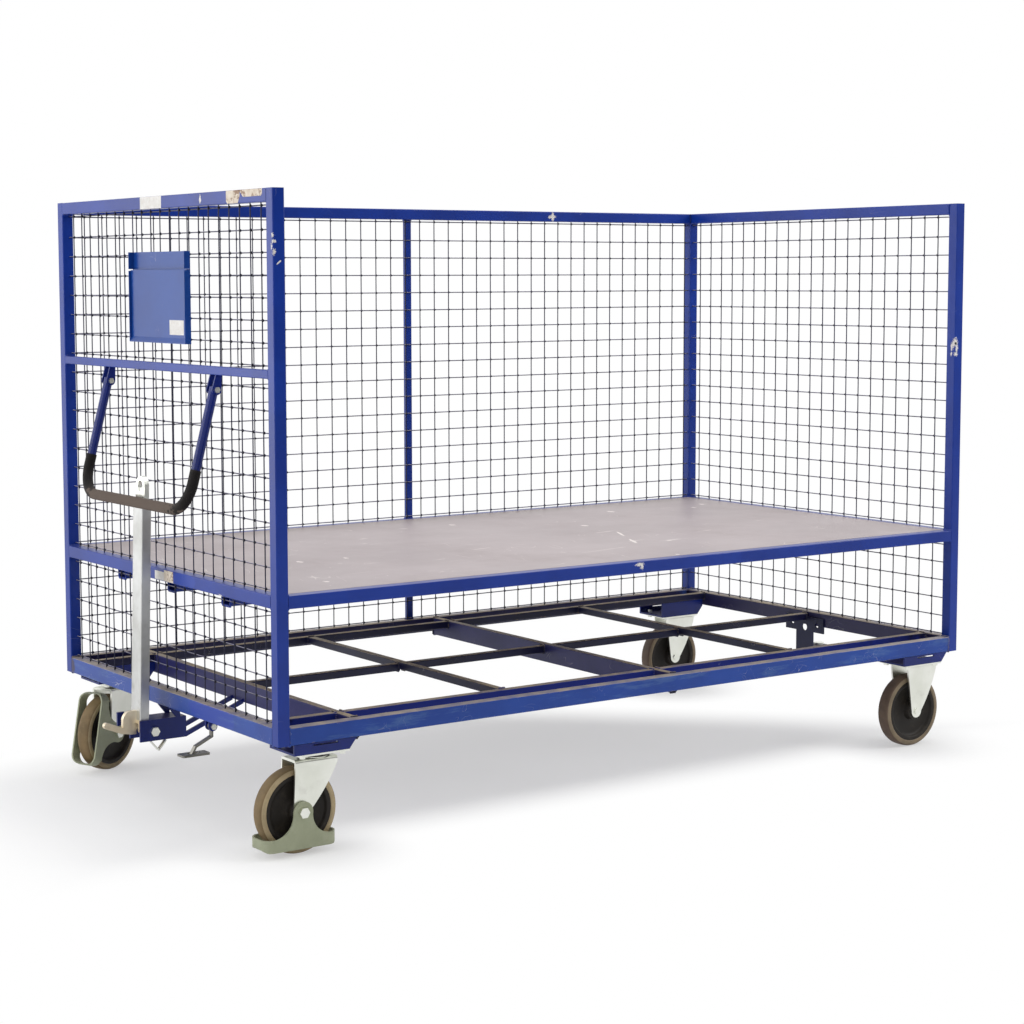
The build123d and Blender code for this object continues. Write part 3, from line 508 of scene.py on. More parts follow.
@dataclass(frozen=True)
class ZincFinish(Finish):
    """Bright zinc plating with fine brushing, stains and a dull bloom."""

    drift: float = 9.0
    relief: float = 0.00008
    metallic: float = 1.0
    stain: Colour = screen(120, 112, 96)
    stain_amount: float = 0.25
    stain_cloud: Noise = Noise(11.0, 6.0, 0.7)
    stain_levels: Pair = (0.56, 0.74)
    stain_dulling: float = 0.4
    bloom: Noise = Noise(55.0, 4.0)
    bloom_ramp: Ramp = (0.3, 0.7, -0.03, 0.05)
    brush: Noise = Noise(260.0, 2.0)
    brush_stretch: Point = (1.0, 1.0, 6.0)

    def surface(self, look: Look, colour: Socket) -> Surface:
        """Lay stains and bloom on the base colour.

        Args:
            look: The material's graph.
            colour: The base colour.

        Returns:
            Colour, roughness and relief.
        """
        place = look.place()
        cloud = look.between(look.noise(place, self.stain_cloud), *self.stain_levels)
        stain = look.math("MULTIPLY", cloud, self.stain_amount)
        bloom = look.between(look.noise(place, self.bloom), *self.bloom_ramp)
        dulled = look.math("ADD", bloom, look.math("MULTIPLY", stain, self.stain_dulling))
        brushing = look.noise(look.turned(place, NO_TURN, self.brush_stretch), self.brush)
        return look.mix(stain, colour, self.stain), look.math("ADD", self.roughness, dulled), brushing


@dataclass(frozen=True)
class BoardFinish(Finish):
    """Film-faced plywood: a fine pressed grain, pale scratches, scuffed spots and a painted shade along its
    back edge.
    """

    drift: float = 2.2
    scuff: Colour = screen(226, 218, 214)
    streaks: Patches = ()
    # Grime colour of the clouds; also the colour of the painted shade along the back edge.
    grime_and_shade: Colour = screen(140, 128, 124)
    cloud: Noise = Noise(3.1, 6.0, 0.68)
    grime_ramp: Ramp = (0.54, 0.78, 0.0, 0.35)
    dull_ramp: Ramp = (0.3, 0.7, -0.05, 0.08)
    # A band that darkens towards the back edge: painted shade where the board meets the back wall, laid in
    # the grime colour.
    back_edge: float = 0.0
    back_shade_band: float = 0.13
    back_shade: float = 0.5
    specks: Noise = Noise(48.0, 3.0, 0.75)
    speck_levels: Pair = (0.70, 0.76)
    speck_strength: float = 0.8
    scratch: float = 0.42
    scratch_scale: float = 3.2
    scratch_strength: float = 0.5
    grain: Noise = Noise(240.0, 3.0, 0.7)
    grain_stretch: Point = (8.0, 1.0, 1.0)
    mark_depth: float = 0.6

    def surface(self, look: Look, colour: Socket) -> Surface:
        """Lay grime, a painted shade along the back edge, specks, scratches and scuffed spots on the base
        colour.

        Args:
            look: The material's graph.
            colour: The base colour.

        Returns:
            Colour, roughness and relief.
        """
        place = look.place()
        cloud = look.noise(place, self.cloud)
        colour = look.mix(look.between(cloud, *self.grime_ramp), colour, self.grime_and_shade)
        # Painted shade: darken a band along the back edge.
        shade_band_start = self.back_edge - self.back_shade_band
        painted_shade_band = look.between(look.split(place)["Y"], shade_band_start, self.back_edge, 0.0, self.back_shade)
        colour = look.mix(painted_shade_band, colour, self.grime_and_shade)
        specks = look.between(look.noise(place, self.specks), *self.speck_levels)
        scratch = look.effect(look.effects.scratches, Scale=self.scratch_scale, Amount=self.scratch)
        scratch = look.math("MULTIPLY", scratch, self.scratch_strength)
        marks = look.math("MAXIMUM", look.math("MULTIPLY", specks, self.speck_strength), scratch)
        for streak in self.streaks:
            marks = look.math("MAXIMUM", marks, streak.mask(look))
        rough = look.math("ADD", self.roughness, look.between(cloud, *self.dull_ramp))
        grain = look.noise(look.turned(place, NO_TURN, self.grain_stretch), self.grain)
        height = look.math("SUBTRACT", grain, look.math("MULTIPLY", marks, self.mark_depth))
        return look.mix(marks, colour, self.scuff), rough, height


@dataclass(frozen=True)
class MouldedFinish(Finish):
    """Rubber, moulded plastic or foam: a fine grain, scuffs, dust in the low spots, and painted light on
    given areas.
    """

    drift: float = 18.0
    relief: float = 0.00015
    scuff: Colour = screen(150, 136, 112)
    scuff_amount: float = 0.4
    scuff_cloud: Noise = Noise(30.0, 6.0, 0.72)
    scuff_levels: Pair = (0.48, 0.72)
    # Given areas lightened to the scuff colour: painted light.
    lit_areas: Patches = ()
    lit_strength: float = 0.85
    dust_and_highlight_scale: float = 25.0
    scratch: float = 0.42
    scratch_scale: float = 14.0
    scratch_strength: float = 0.25
    dulling: float = 0.2
    grain: Noise = Noise(500.0, 2.0)

    def surface(self, look: Look, colour: Socket) -> Surface:
        """Lay scuffs, painted light on given areas, dust and scratches on the base colour.

        Args:
            look: The material's graph.
            colour: The base colour.

        Returns:
            Colour, roughness and relief.
        """
        shared = look.effects
        place = look.place()
        cloud = look.between(look.noise(place, self.scuff_cloud), *self.scuff_levels)
        cover = look.math("MULTIPLY", cloud, self.scuff_amount)
        # Painted light: lighten the given areas.
        for area in self.lit_areas:
            cover = look.math("MAXIMUM", cover, look.math("MULTIPLY", area.mask(look), self.lit_strength))
        dust_and_highlight = look.effect(shared.dust_and_highlight, Scale=self.dust_and_highlight_scale, Amount=self.scuff_amount)
        cover = look.math("MAXIMUM", cover, dust_and_highlight)
        colour = look.mix(cover, colour, self.scuff)
        scratch = look.effect(shared.scratches, Scale=self.scratch_scale, Amount=self.scratch)
        colour = look.mix(look.math("MULTIPLY", scratch, self.scratch_strength), colour, self.scuff)
        rough = look.math("ADD", self.roughness, look.math("MULTIPLY", cover, self.dulling))
        return colour, rough, look.noise(place, self.grain)


@dataclass(frozen=True)
class PaperFinish(Finish):
    """Paper label with a fibrous face and worn, browned areas."""

    drift: float = 60.0
    relief: float = 0.00005
    browned: Colour = screen(176, 156, 128)
    browned_amount: float = 0.35
    cloud: Noise = Noise(90.0, 6.0, 0.75)
    brown_levels: Pair = (0.50, 0.58)
    fibre: Noise = Noise(900.0, 2.0)

    def surface(self, look: Look, colour: Socket) -> Surface:
        """Brown the base colour in places.

        Args:
            look: The material's graph.
            colour: The base colour.

        Returns:
            Colour, roughness and relief.
        """
        place = look.place()
        cloud = look.between(look.noise(place, self.cloud), *self.brown_levels)
        stain = look.math("MULTIPLY", cloud, self.browned_amount)
        return look.mix(stain, colour, self.browned), self.roughness, look.noise(place, self.fibre)


class Coat(Enum):
    """The finishes of the trolley."""

    FRAME = "frame_paint"
    BASE = "base_paint"
    # Grid paint: the frame's blue darkened as painted shade under the shelf.
    SHADED_GRID = "grid_paint"
    HITCH = "hitch_paint"
    GEAR = "gear_paint"
    # Tall bars: lighter lavender paint as a painted reflection, over the grid's painted shade.
    TALL_BAR_SHADE_AND_GLARE = "tall_bar_paint"
    HOLDER = "holder_paint"
    # Wires: dark navy as painted shade of the blue paint.
    SHADED_WIRE = "wire_paint"
    SPOT_WELD = "spot_weld_paint"
    ZINC = "zinc_plate"
    DRAWBAR = "drawbar_zinc"
    HOOK = "hook_zinc"
    # Pedal: darker steel, partly painted shade under the base rail.
    SHADED_PEDAL = "shaded_pedal_steel"
    BOARD = "film_faced_board"
    GRIP = "grip_foam"
    TREAD = "tyre_tread"
    SIDEWALL = "tyre_sidewall"
    # Rear tyres: darker copies of the front rubber, as painted shade.
    SHADED_REAR_TREAD = "shaded_rear_tyre_tread"
    SHADED_REAR_SIDEWALL = "shaded_rear_tyre_sidewall"
    RIM = "wheel_centre"
    GUARD = "foot_guard_plastic"
    # Dark grease that is also painted shade in the gap under the swivel plates.
    GREASE_AND_SHADE = "greasy_shaded_steel"
    LABEL = "label_paper"
    TORN = "torn_paper"


@dataclass
class Marks:
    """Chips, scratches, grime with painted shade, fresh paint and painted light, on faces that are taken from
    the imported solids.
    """

    scratch_ragged: float = 1.2
    scratch_breakup: float = 160.0
    spot_stretch: float = 1.6
    spot_ragged: float = 2.4
    spot_breakup: float = 260.0

    def __post_init__(self) -> None:
        """Find the faces and place the marks that need no list."""
        self.front, self.left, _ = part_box("corner_post_front_left")[0]
        self.rear_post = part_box("corner_post_rear_left")[0].x
        self.back_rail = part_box("top_side_rail")[0].y
        self.board_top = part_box("shelf_board")[1].z
        base = middle(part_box("base_side_rails")).z
        self.pits = (Patch((1.1115, self.left, 1.114), (0.004, 0.004, 0.004), 1.0),)
        self.frame_fresh = (Patch((self.front, -0.125, 0.583), (0.006, 0.062, 0.022), 0.3, 110.0),)
        self.base_fresh = (Patch((self.front, -0.255, base), (0.012, 0.120, 0.035), 0.9, 40.0),)
        # Grime with painted shade on the inner faces of the far base rails, under the shelf.
        self.base_grime_and_shade = (
            Patch((self.rear_post, 0.0, base), (0.030, 0.640, 0.070), 0.4, 30.0),
            Patch((0.0, 0.5375, base), (1.300, 0.030, 0.070), 0.4, 30.0),
        )
        # The near grid rail, lighter as painted light where the shelf's shade ends.
        self.lit_near_rail = (Patch((0.0, -0.500, base), (1.300, 0.050, 0.060), 0.5, 30.0),)
        # Painted light on the grip's crossbar.
        self.lit_crossbar = (Patch((-1.095, 0.0, 0.766), (0.050, 0.270, 0.032), 0.8, 60.0),)

    def _scratch(self, start: Point, end: Point, width: float) -> Patch:
        """Make a straight scratch between two points, as one long turned patch.

        Args:
            start: Where the scratch starts.
            end: Where it ends.
            width: Its width.

        Returns:
            The patch.
        """
        run = Vector(end) - Vector(start)
        turn = Vector((1.0, 0.0, 0.0)).rotation_difference(run).to_euler()
        half = (run.length / 2, width / 2, width / 2)
        centre = (Vector(start) + Vector(end)) / 2
        return Patch(tuple(centre), half, self.scratch_ragged, self.scratch_breakup, tuple(turn))

    def frame_chips(self) -> Patches:
        """Chip the paint of the posts and rails.

        Returns:
            The chips.
        """
        front, left, rear = self.front, self.left, self.rear_post
        rear_post = (
            Patch((1.1110, left, 1.117), (0.008, 0.006, 0.012)),
            Patch((rear, -0.5670, 1.112), (0.006, 0.004, 0.013)),
            Patch((rear, -0.5610, 1.104), (0.006, 0.003, 0.012)),
            Patch((rear, -0.5600, 1.085), (0.006, 0.003, 0.005)),
            Patch((1.1150, left, 1.101), (0.005, 0.006, 0.013)),
            Patch((1.1130, left, 1.085), (0.006, 0.006, 0.006)),
        )
        top_rails = (
            Patch((0.563, self.back_rail, 1.4795), (0.014, 0.006, 0.005)),
            Patch((0.566, self.back_rail, 1.4795), (0.005, 0.006, 0.013)),
            Patch((front, -0.2336, 1.4804), (0.004, 0.005, 0.009), 2.2),
        )
        near_post = (
            Patch((front, -0.5705, 1.392), (0.004, 0.004, 0.005)),
            Patch((-1.0205, left, 1.379), (0.005, 0.005, 0.004)),
            Patch((front, -0.5665, 1.367), (0.004, 0.003, 0.007)),
            Patch((-1.0195, left, 1.356), (0.004, 0.004, 0.007)),
        )
        shelf_rails = (
            Patch((0.0046, left, 0.590), (0.014, 0.006, 0.004)),
            Patch((0.011, left, 0.586), (0.005, 0.006, 0.008)),
            Patch((front, -0.3044, 0.566), (0.005, 0.009, 0.006)),
        )
        scratch = self._scratch((-1.013, left, 1.329), (-1.001, left, 1.338), 0.004)
        return (*rear_post, *top_rails, *near_post, *shelf_rails, scratch)

    def board_marks(self) -> Patches:
        """Scratch and scuff the top of the board.

        Returns:
            Two scratches and the scuffed spots.
        """
        top = self.board_top
        marks = [
            self._scratch((0.345, -0.050, top), (0.298, -0.143, top), 0.008),
            self._scratch((0.267, -0.203, top), (0.227, -0.286, top), 0.011),
        ]
        spots = (
            (0.644, 0.354, 0.010),
            (1.001, 0.355, 0.008),
            (0.919, 0.296, 0.007),
            (0.360, 0.113, 0.009),
            (0.167, -0.522, 0.005),
            (0.335, -0.287, 0.005),
            (-0.686, -0.090, 0.008),
            (-0.555, -0.093, 0.006),
            (-0.808, -0.426, 0.007),
            (0.064, 0.347, 0.008),
        )
        for x, y, reach in spots:
            half = (reach, self.spot_stretch * reach, reach)
            marks.append(Patch((x, y, top), half, self.spot_ragged, self.spot_breakup))
        return tuple(marks)


@dataclass
class Palette:
    """All finishes, built once and looked up by name."""

    materials: dict[Coat, Material] = field(default_factory=dict)

    def build(self) -> "Palette":
        """Build every finish.

        Returns:
            The palette.
        """
        effects = Effects()
        marks = Marks()
        for finishes in (self._paints(marks), self._zincs(), self._moulded(marks), self._flats(marks)):
            for coat, finish in finishes.items():
                self.materials[coat] = finish.build(coat.value, effects)
        return self

    @staticmethod
    def _paints(marks: Marks) -> dict[Coat, Finish]:
        """Choose the paints of the tubes, the gear and the wires.

        Args:
            marks: The chips, grime with painted shade, fresh paint and the painted light on the near grid
                rail.

        Returns:
            The finish behind each name.
        """
        # The grid's dark navy is the blue paint darkened as painted shade under the shelf.
        grid = PaintFinish(
            screen(26, 28, 66), screen(20, 20, 48), 0.36, wear=0.40, wear_radius=0.004, scratch=0.36,
            dust_and_highlight=screen(196, 180, 150), dust_and_highlight_amount=0.95,
        )
        return {
            Coat.FRAME: PaintFinish(
                screen(16, 54, 150), screen(12, 46, 134), 0.30, wear=0.16, chips=marks.frame_chips(),
                fresh_and_lit_areas=marks.frame_fresh, pits=marks.pits,
            ),
            Coat.BASE: PaintFinish(
                screen(30, 70, 156), screen(24, 60, 140), 0.36, wear=0.42, wear_radius=0.004, scratch=0.42,
                dust_and_highlight=screen(200, 186, 162), dust_and_highlight_amount=0.9, rub=0.32, fresh_and_lit_areas=marks.base_fresh,
                grime_and_shade_areas=marks.base_grime_and_shade,
            ),
            # Painted light: the near grid rail keeps a lighter blue.
            Coat.SHADED_GRID: replace(grid, fresh_and_lit_areas=marks.lit_near_rail, fresh_and_lit_blue=screen(30, 44, 124)),
            # The tall bars' lavender is a painted reflection on top of the grid's painted shade.
            Coat.TALL_BAR_SHADE_AND_GLARE: replace(grid, colour=screen(52, 52, 104), second=screen(36, 37, 88)),
            Coat.GEAR: PaintFinish(
                screen(14, 36, 120), screen(10, 28, 96), 0.30, wear=0.24, dust_and_highlight_amount=0.25
            ),
            Coat.HOLDER: PaintFinish(screen(20, 68, 148), screen(16, 60, 136), 0.32, wear=0.12),
            Coat.HITCH: PaintFinish(screen(20, 26, 66), screen(15, 19, 48), 0.45, wear=0.30, dust_and_highlight_amount=0.3),
            # The wires' dark navy is painted shade of the thin blue wires against the light.
            Coat.SHADED_WIRE: PaintFinish(
                # The pale lavender on the wires' upper half is a painted highlight together with dust.
                screen(17, 18, 44), screen(24, 26, 64), 0.34, wear=0.0, dust_and_highlight=screen(196, 192, 212),
                dust_and_highlight_amount=0.8, dust_and_highlight_tilt=(0.05, 0.7),
            ),
            Coat.SPOT_WELD: PaintFinish(
                screen(14, 14, 26), screen(20, 20, 36), 0.5, wear=0.0, dust_and_highlight_amount=0.0
            ),
        }

    @staticmethod
    def _zincs() -> dict[Coat, Finish]:
        """Choose the platings of the castors, the drawbar and the pedal.

        Returns:
            The finish behind each name.
        """
        return {
            Coat.ZINC: ZincFinish(
                screen(240, 241, 234), screen(226, 228, 218), 0.32, stain_amount=0.15
            ),
            Coat.HOOK: ZincFinish(
                screen(236, 225, 203), screen(214, 200, 174), 0.42, stain_amount=0.3
            ),
            # Darker than the castor zinc: plain steel, partly painted shade under the base rail.
            Coat.SHADED_PEDAL: ZincFinish(
                screen(150, 148, 142), screen(118, 116, 110), 0.38, stain_amount=0.4
            ),
            Coat.DRAWBAR: ZincFinish(
                screen(202, 203, 202), screen(178, 178, 175), 0.40, stain_amount=0.35
            ),
        }

    @staticmethod
    def _moulded(marks: Marks) -> dict[Coat, Finish]:
        """Choose the foam, the rubbers, the plastics and the greasy steel, whose dark grease is also painted
        shade.

        Args:
            marks: The painted light on the grip's crossbar.

        Returns:
            The finish behind each name.
        """
        return {
            # The lighter crossbar of the grip is painted light from the left and above.
            Coat.GRIP: MouldedFinish(
                screen(27, 24, 24), screen(19, 17, 17), 0.62, scuff=screen(106, 94, 86), scuff_amount=0.10,
                grain=Noise(900.0, 2.0), gloss=0.15, lit_areas=marks.lit_crossbar,
            ),
            Coat.TREAD: MouldedFinish(
                screen(126, 104, 70), screen(102, 84, 54), 0.70, scuff=screen(144, 126, 92), scuff_amount=0.5
            ),
            Coat.SIDEWALL: MouldedFinish(
                screen(176, 158, 122), screen(156, 138, 106), 0.66, scuff=screen(190, 172, 138)
            ),
            # The rear tyres are the front rubber made darker: painted shade.
            Coat.SHADED_REAR_TREAD: MouldedFinish(
                screen(98, 80, 66), screen(78, 63, 52), 0.66, scuff=screen(122, 102, 84)
            ),
            Coat.SHADED_REAR_SIDEWALL: MouldedFinish(
                screen(134, 118, 94), screen(114, 100, 80), 0.62, scuff=screen(142, 126, 102)
            ),
            Coat.RIM: MouldedFinish(
                screen(32, 27, 22), screen(25, 21, 17), 0.55, scuff=screen(88, 79, 67), scuff_amount=0.22,
                gloss=0.3,
            ),
            Coat.GUARD: MouldedFinish(
                screen(162, 167, 139), screen(152, 157, 130), 0.50, scuff=screen(184, 186, 162),
                scuff_amount=0.3, grain=Noise(260.0, 2.0),
            ),
            # Dark grease on the ball races, also painting the shade between plate and fork crown.
            Coat.GREASE_AND_SHADE: MouldedFinish(
                screen(52, 50, 47), screen(34, 33, 32), 0.42, scuff=screen(96, 92, 84), scuff_amount=0.3
            ),
        }

    @staticmethod
    def _flats(marks: Marks) -> dict[Coat, Finish]:
        """Choose the board's film and the papers.

        Args:
            marks: The scratches and spots on the board.

        Returns:
            The finish behind each name.
        """
        return {
            Coat.BOARD: BoardFinish(
                screen(174, 163, 164), screen(164, 153, 154), 0.46, streaks=marks.board_marks(),
                back_edge=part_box("shelf_board")[1].y,
            ),
            Coat.LABEL: PaperFinish(
                screen(230, 228, 225), screen(218, 215, 211), 0.6, browned_amount=0.12
            ),
            Coat.TORN: PaperFinish(
                screen(228, 218, 204), screen(212, 198, 180), 0.7, browned_amount=0.85,
                browned=screen(138, 104, 80), cloud=Noise(52.0, 6.0, 0.75),
            ),
        }

    def dress(self, node: str, coat: Coat) -> None:
        """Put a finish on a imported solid.

        Args:
            node: The solid's name.
            coat: Its finish.
        """
        slot = frame["nodes"][node].material_slots[0]
        slot.link = "OBJECT"
        slot.material = self.materials[coat]
        log.info("dressed %s in %s", node, coat.value)


def island_boxes(node: str) -> list[Box]:
    """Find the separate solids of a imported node.

    Args:
        node: The node's name.

    Returns:
        The lowest and highest corner of each solid.
    """
    mesh = bmesh.new()
    mesh.from_mesh(frame["nodes"][node].data)
    bmesh.ops.remove_doubles(mesh, verts=mesh.verts, dist=MERGE_DISTANCE)
    boxes = []
    seen = set()
    for first in mesh.verts:
        if first in seen:
            continue
        seen.add(first)
        group = [first]
        for vertex in group:
            for edge in vertex.link_edges:
                other = edge.other_vert(vertex)
                if other not in seen:
                    seen.add(other)
                    group.append(other)
        low = Vector([min(vertex.co[axis] for vertex in group) for axis in AXES])
        high = Vector([max(vertex.co[axis] for vertex in group) for axis in AXES])
        boxes.append((low, high))
    mesh.free()
    return boxes


def long_axis(box: Box) -> int:
    """Number of the axis along which a box is longest."""
    size = box[1] - box[0]
    return max(AXES, key=lambda axis: size[axis])


def middle(box: Box) -> Vector:
    """Middle of a box."""
    return (box[0] + box[1]) / 2


def joint(name: str) -> dict:
    """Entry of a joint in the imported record."""
    return next(entry for entry in frame["joints"] if entry["name"] == name)


def make_piece(
    name: str, mesh: Mesh, body: str, materials: list[Material]
) -> bpy.types.Object:
    """Turn a finished bmesh into a piece that rides on a body.

    Args:
        name: The piece's name.
        mesh: Its shape, in place.
        body: The body that it rides on.
        materials: Its materials, in the order of the faces' numbers.

    Returns:
        The new object.
    """
    data = bpy.data.meshes.new(name)
    mesh.to_mesh(data)
    mesh.free()
    for material in materials:
        data.materials.append(material)
    piece = bpy.data.objects.new(name, data)
    bpy.context.scene.collection.objects.link(piece)
    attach(piece, body)
    log.info("made %s with %d faces", name, len(data.polygons))
    return piece


def smooth(mesh: Mesh, sharp_angle: float) -> None:
    """Shade a bmesh smooth, with edges sharper than the angle kept sharp.

    Args:
        mesh: The shape.
        sharp_angle: Angle in degrees.
    """
    limit = math.radians(sharp_angle)
    for face in mesh.faces:
        face.smooth = True
    for edge in mesh.edges:
        edge.smooth = len(edge.link_faces) == 2 and edge.calc_face_angle(FULL_TURN) < limit


def add_rod(mesh: Mesh, start: Vector, end: Vector, radius: float, sides: int) -> None:
    """Add a round bar between two points.

    Args:
        mesh: The shape to add to.
        start: One end.
        end: The other end.
        radius: Its radius.
        sides: Number of sides.
    """
    run = end - start
    turn = run.to_track_quat("Z", "Y").to_matrix().to_4x4()
    bmesh.ops.create_cone(
        mesh,
        cap_ends=True,
        cap_tris=False,
        segments=sides,
        radius1=radius,
        radius2=radius,
        depth=run.length,
        matrix=Matrix.Translation((start + end) / 2) @ turn,
    )


@dataclass
class MeshWalls:
    """The welded wire walls: round wires with a weld at each crossing."""

    palette: Palette
    wire_sides: int = 8
    weld_radius: float = 0.0038
    weld_fineness: int = 1
    sharp_angle: float = 50.0
    walls: tuple[str, ...] = ("front", "side", "rear")

    def build(self) -> None:
        """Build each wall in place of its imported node."""
        # The wire paint is dark navy as painted shade, with a pale painted highlight on the tops.
        paints = [self.palette.materials[coat] for coat in (Coat.SHADED_WIRE, Coat.SPOT_WELD)]
        for wall in self.walls:
            node = f"mesh_wall_{wall}"
            boxes = island_boxes(node)
            mesh = bmesh.new()
            for box in boxes:
                self._wire(mesh, box)
            uprights = [box for box in boxes if long_axis(box) == UP]
            levels = [box for box in boxes if long_axis(box) != UP]
            for level in levels:
                for upright in uprights:
                    self._weld(mesh, upright, level)
            smooth(mesh, self.sharp_angle)
            piece = make_piece(f"wire_wall_{wall}", mesh, "chassis", paints)
            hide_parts(node)

    def _wire(self, mesh: Mesh, box: Box) -> None:
        """Add the round wire that fills a packed wire's box.

        Args:
            mesh: The wall so far.
            box: The wire's box.
        """
        axis = long_axis(box)
        start = middle(box)
        end = middle(box)
        start[axis] = box[0][axis]
        end[axis] = box[1][axis]
        radius = (box[1] - box[0])[(axis + 1) % len(AXES)] / 2
        add_rod(mesh, start, end, radius, self.wire_sides)

    def _weld(self, mesh: Mesh, upright: Box, level: Box) -> None:
        """Add the weld where an upright and a level wire cross, if they do.

        Args:
            mesh: The wall so far.
            upright: The upright wire's box.
            level: The level wire's box.
        """
        height = middle(level).z
        if not upright[0].z < height < upright[1].z:
            return
        spot = (middle(upright) + middle(level)) / 2
        spot[long_axis(level)] = middle(upright)[long_axis(level)]
        spot.z = height
        place = Matrix.Translation(spot)
        made = bmesh.ops.create_icosphere(
            mesh, subdivisions=self.weld_fineness, radius=self.weld_radius, matrix=place
        )
        for vertex in made["verts"]:
            for face in vertex.link_faces:
                face.material_index = SECOND_MATERIAL


@dataclass
class TubeFrame:
    """The welded frame: posts, rails, shelf frame, base grid and their weld seams."""

    palette: Palette
    seam_radius: float = 0.0034
    seam_pitch: float = 0.0042
    fewest_steps: int = 2
    seam_fineness: int = 2
    sharp_angle: float = 80.0
    posts: tuple[str, ...] = tuple(f"corner_post_{corner}" for corner in CORNERS)
    rails: tuple[str, ...] = (
        "top_end_rails",
        "top_side_rail",
        "side_centre_post",
        "handle_rail",
        "shelf_side_rails",
        "shelf_end_rails",
        "shelf_bearers",
    )
    base_rails: tuple[str, ...] = ("base_side_rails", "base_end_rails")
    grid_bars: tuple[str, ...] = ("base_long_rails", "base_cross_bars")
    tall_bars: tuple[str, ...] = ("base_tall_bars",)
    brackets: tuple[str, ...] = ("castor_brackets", "drawbar_bracket")

    def dress(self) -> None:
        """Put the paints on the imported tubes."""
        coats = {
            Coat.FRAME: self.posts + self.rails,
            Coat.BASE: self.base_rails,
            Coat.SHADED_GRID: self.grid_bars,
            Coat.TALL_BAR_SHADE_AND_GLARE: self.tall_bars,
            Coat.GEAR: self.brackets,
        }
        for coat, nodes in coats.items():
            for node in nodes:
                self.palette.dress(node, coat)

    def build(self) -> None:
        """Lay the weld seams round the ends of the rails."""
        seamed = {
            Coat.FRAME: self.rails,
            Coat.BASE: self.base_rails,
            Coat.SHADED_GRID: self.tall_bars + self.grid_bars,
        }
        for coat, nodes in seamed.items():
            mesh = bmesh.new()
            for node in nodes:
                for box in island_boxes(node):
                    self._end_seams(mesh, box)
            smooth(mesh, self.sharp_angle)
            name = coat.value.replace("paint", "weld_seams")
            make_piece(name, mesh, "chassis", [self.palette.materials[coat]])

    def _end_seams(self, mesh: Mesh, box: Box) -> None:
        """Lay the seams round both ends of one tube, but not on the outside of the frame.

        Args:
            mesh: The seams so far.
            box: The tube's box.
        """
        axis = long_axis(box)
        first, second = [other for other in AXES if other != axis]
        for end in box:
            for across, still in ((first, second), (second, first)):
                for side in box:
                    if self._is_outer_face(still, side[still]):
                        continue
                    start = end.copy()
                    start[still] = side[still]
                    start[across] = box[0][across] + self.seam_radius
                    stop = start.copy()
                    stop[across] = box[1][across] - self.seam_radius
                    self._seam(mesh, start, stop)

    @staticmethod
    def _is_outer_face(axis: int, place: float) -> bool:
        """Tell whether a face lies on the outside of the frame, where the welds are ground flush.

        Args:
            axis: The axis that the face looks along.
            place: Where it lies on that axis.

        Returns:
            Whether it does.
        """
        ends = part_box("base_end_rails")
        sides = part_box("base_side_rails")
        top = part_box("top_end_rails")[1].z
        limits = ((ends[0].x, ends[1].x), (sides[0].y, sides[1].y), (top,))
        return any(abs(place - limit) < FACE_TOLERANCE for limit in limits[axis])

    def _seam(self, mesh: Mesh, start: Vector, stop: Vector) -> None:
        """Lay one seam as a row of overlapping ripples.

        Args:
            mesh: The seams so far.
            start: Where the seam starts.
            stop: Where it stops.
        """
        run = stop - start
        count = max(self.fewest_steps, round(run.length / self.seam_pitch))
        for step in range(count + 1):
            place = Matrix.Translation(start + run * (step / count))
            bmesh.ops.create_icosphere(
                mesh, subdivisions=self.seam_fineness, radius=self.seam_radius, matrix=place
            )


@dataclass
class Shelf:
    """The board that lies in the shelf frame."""

    palette: Palette

    def dress(self) -> None:
        """Put the film-faced finish on the board."""
        self.palette.dress("shelf_board", Coat.BOARD)


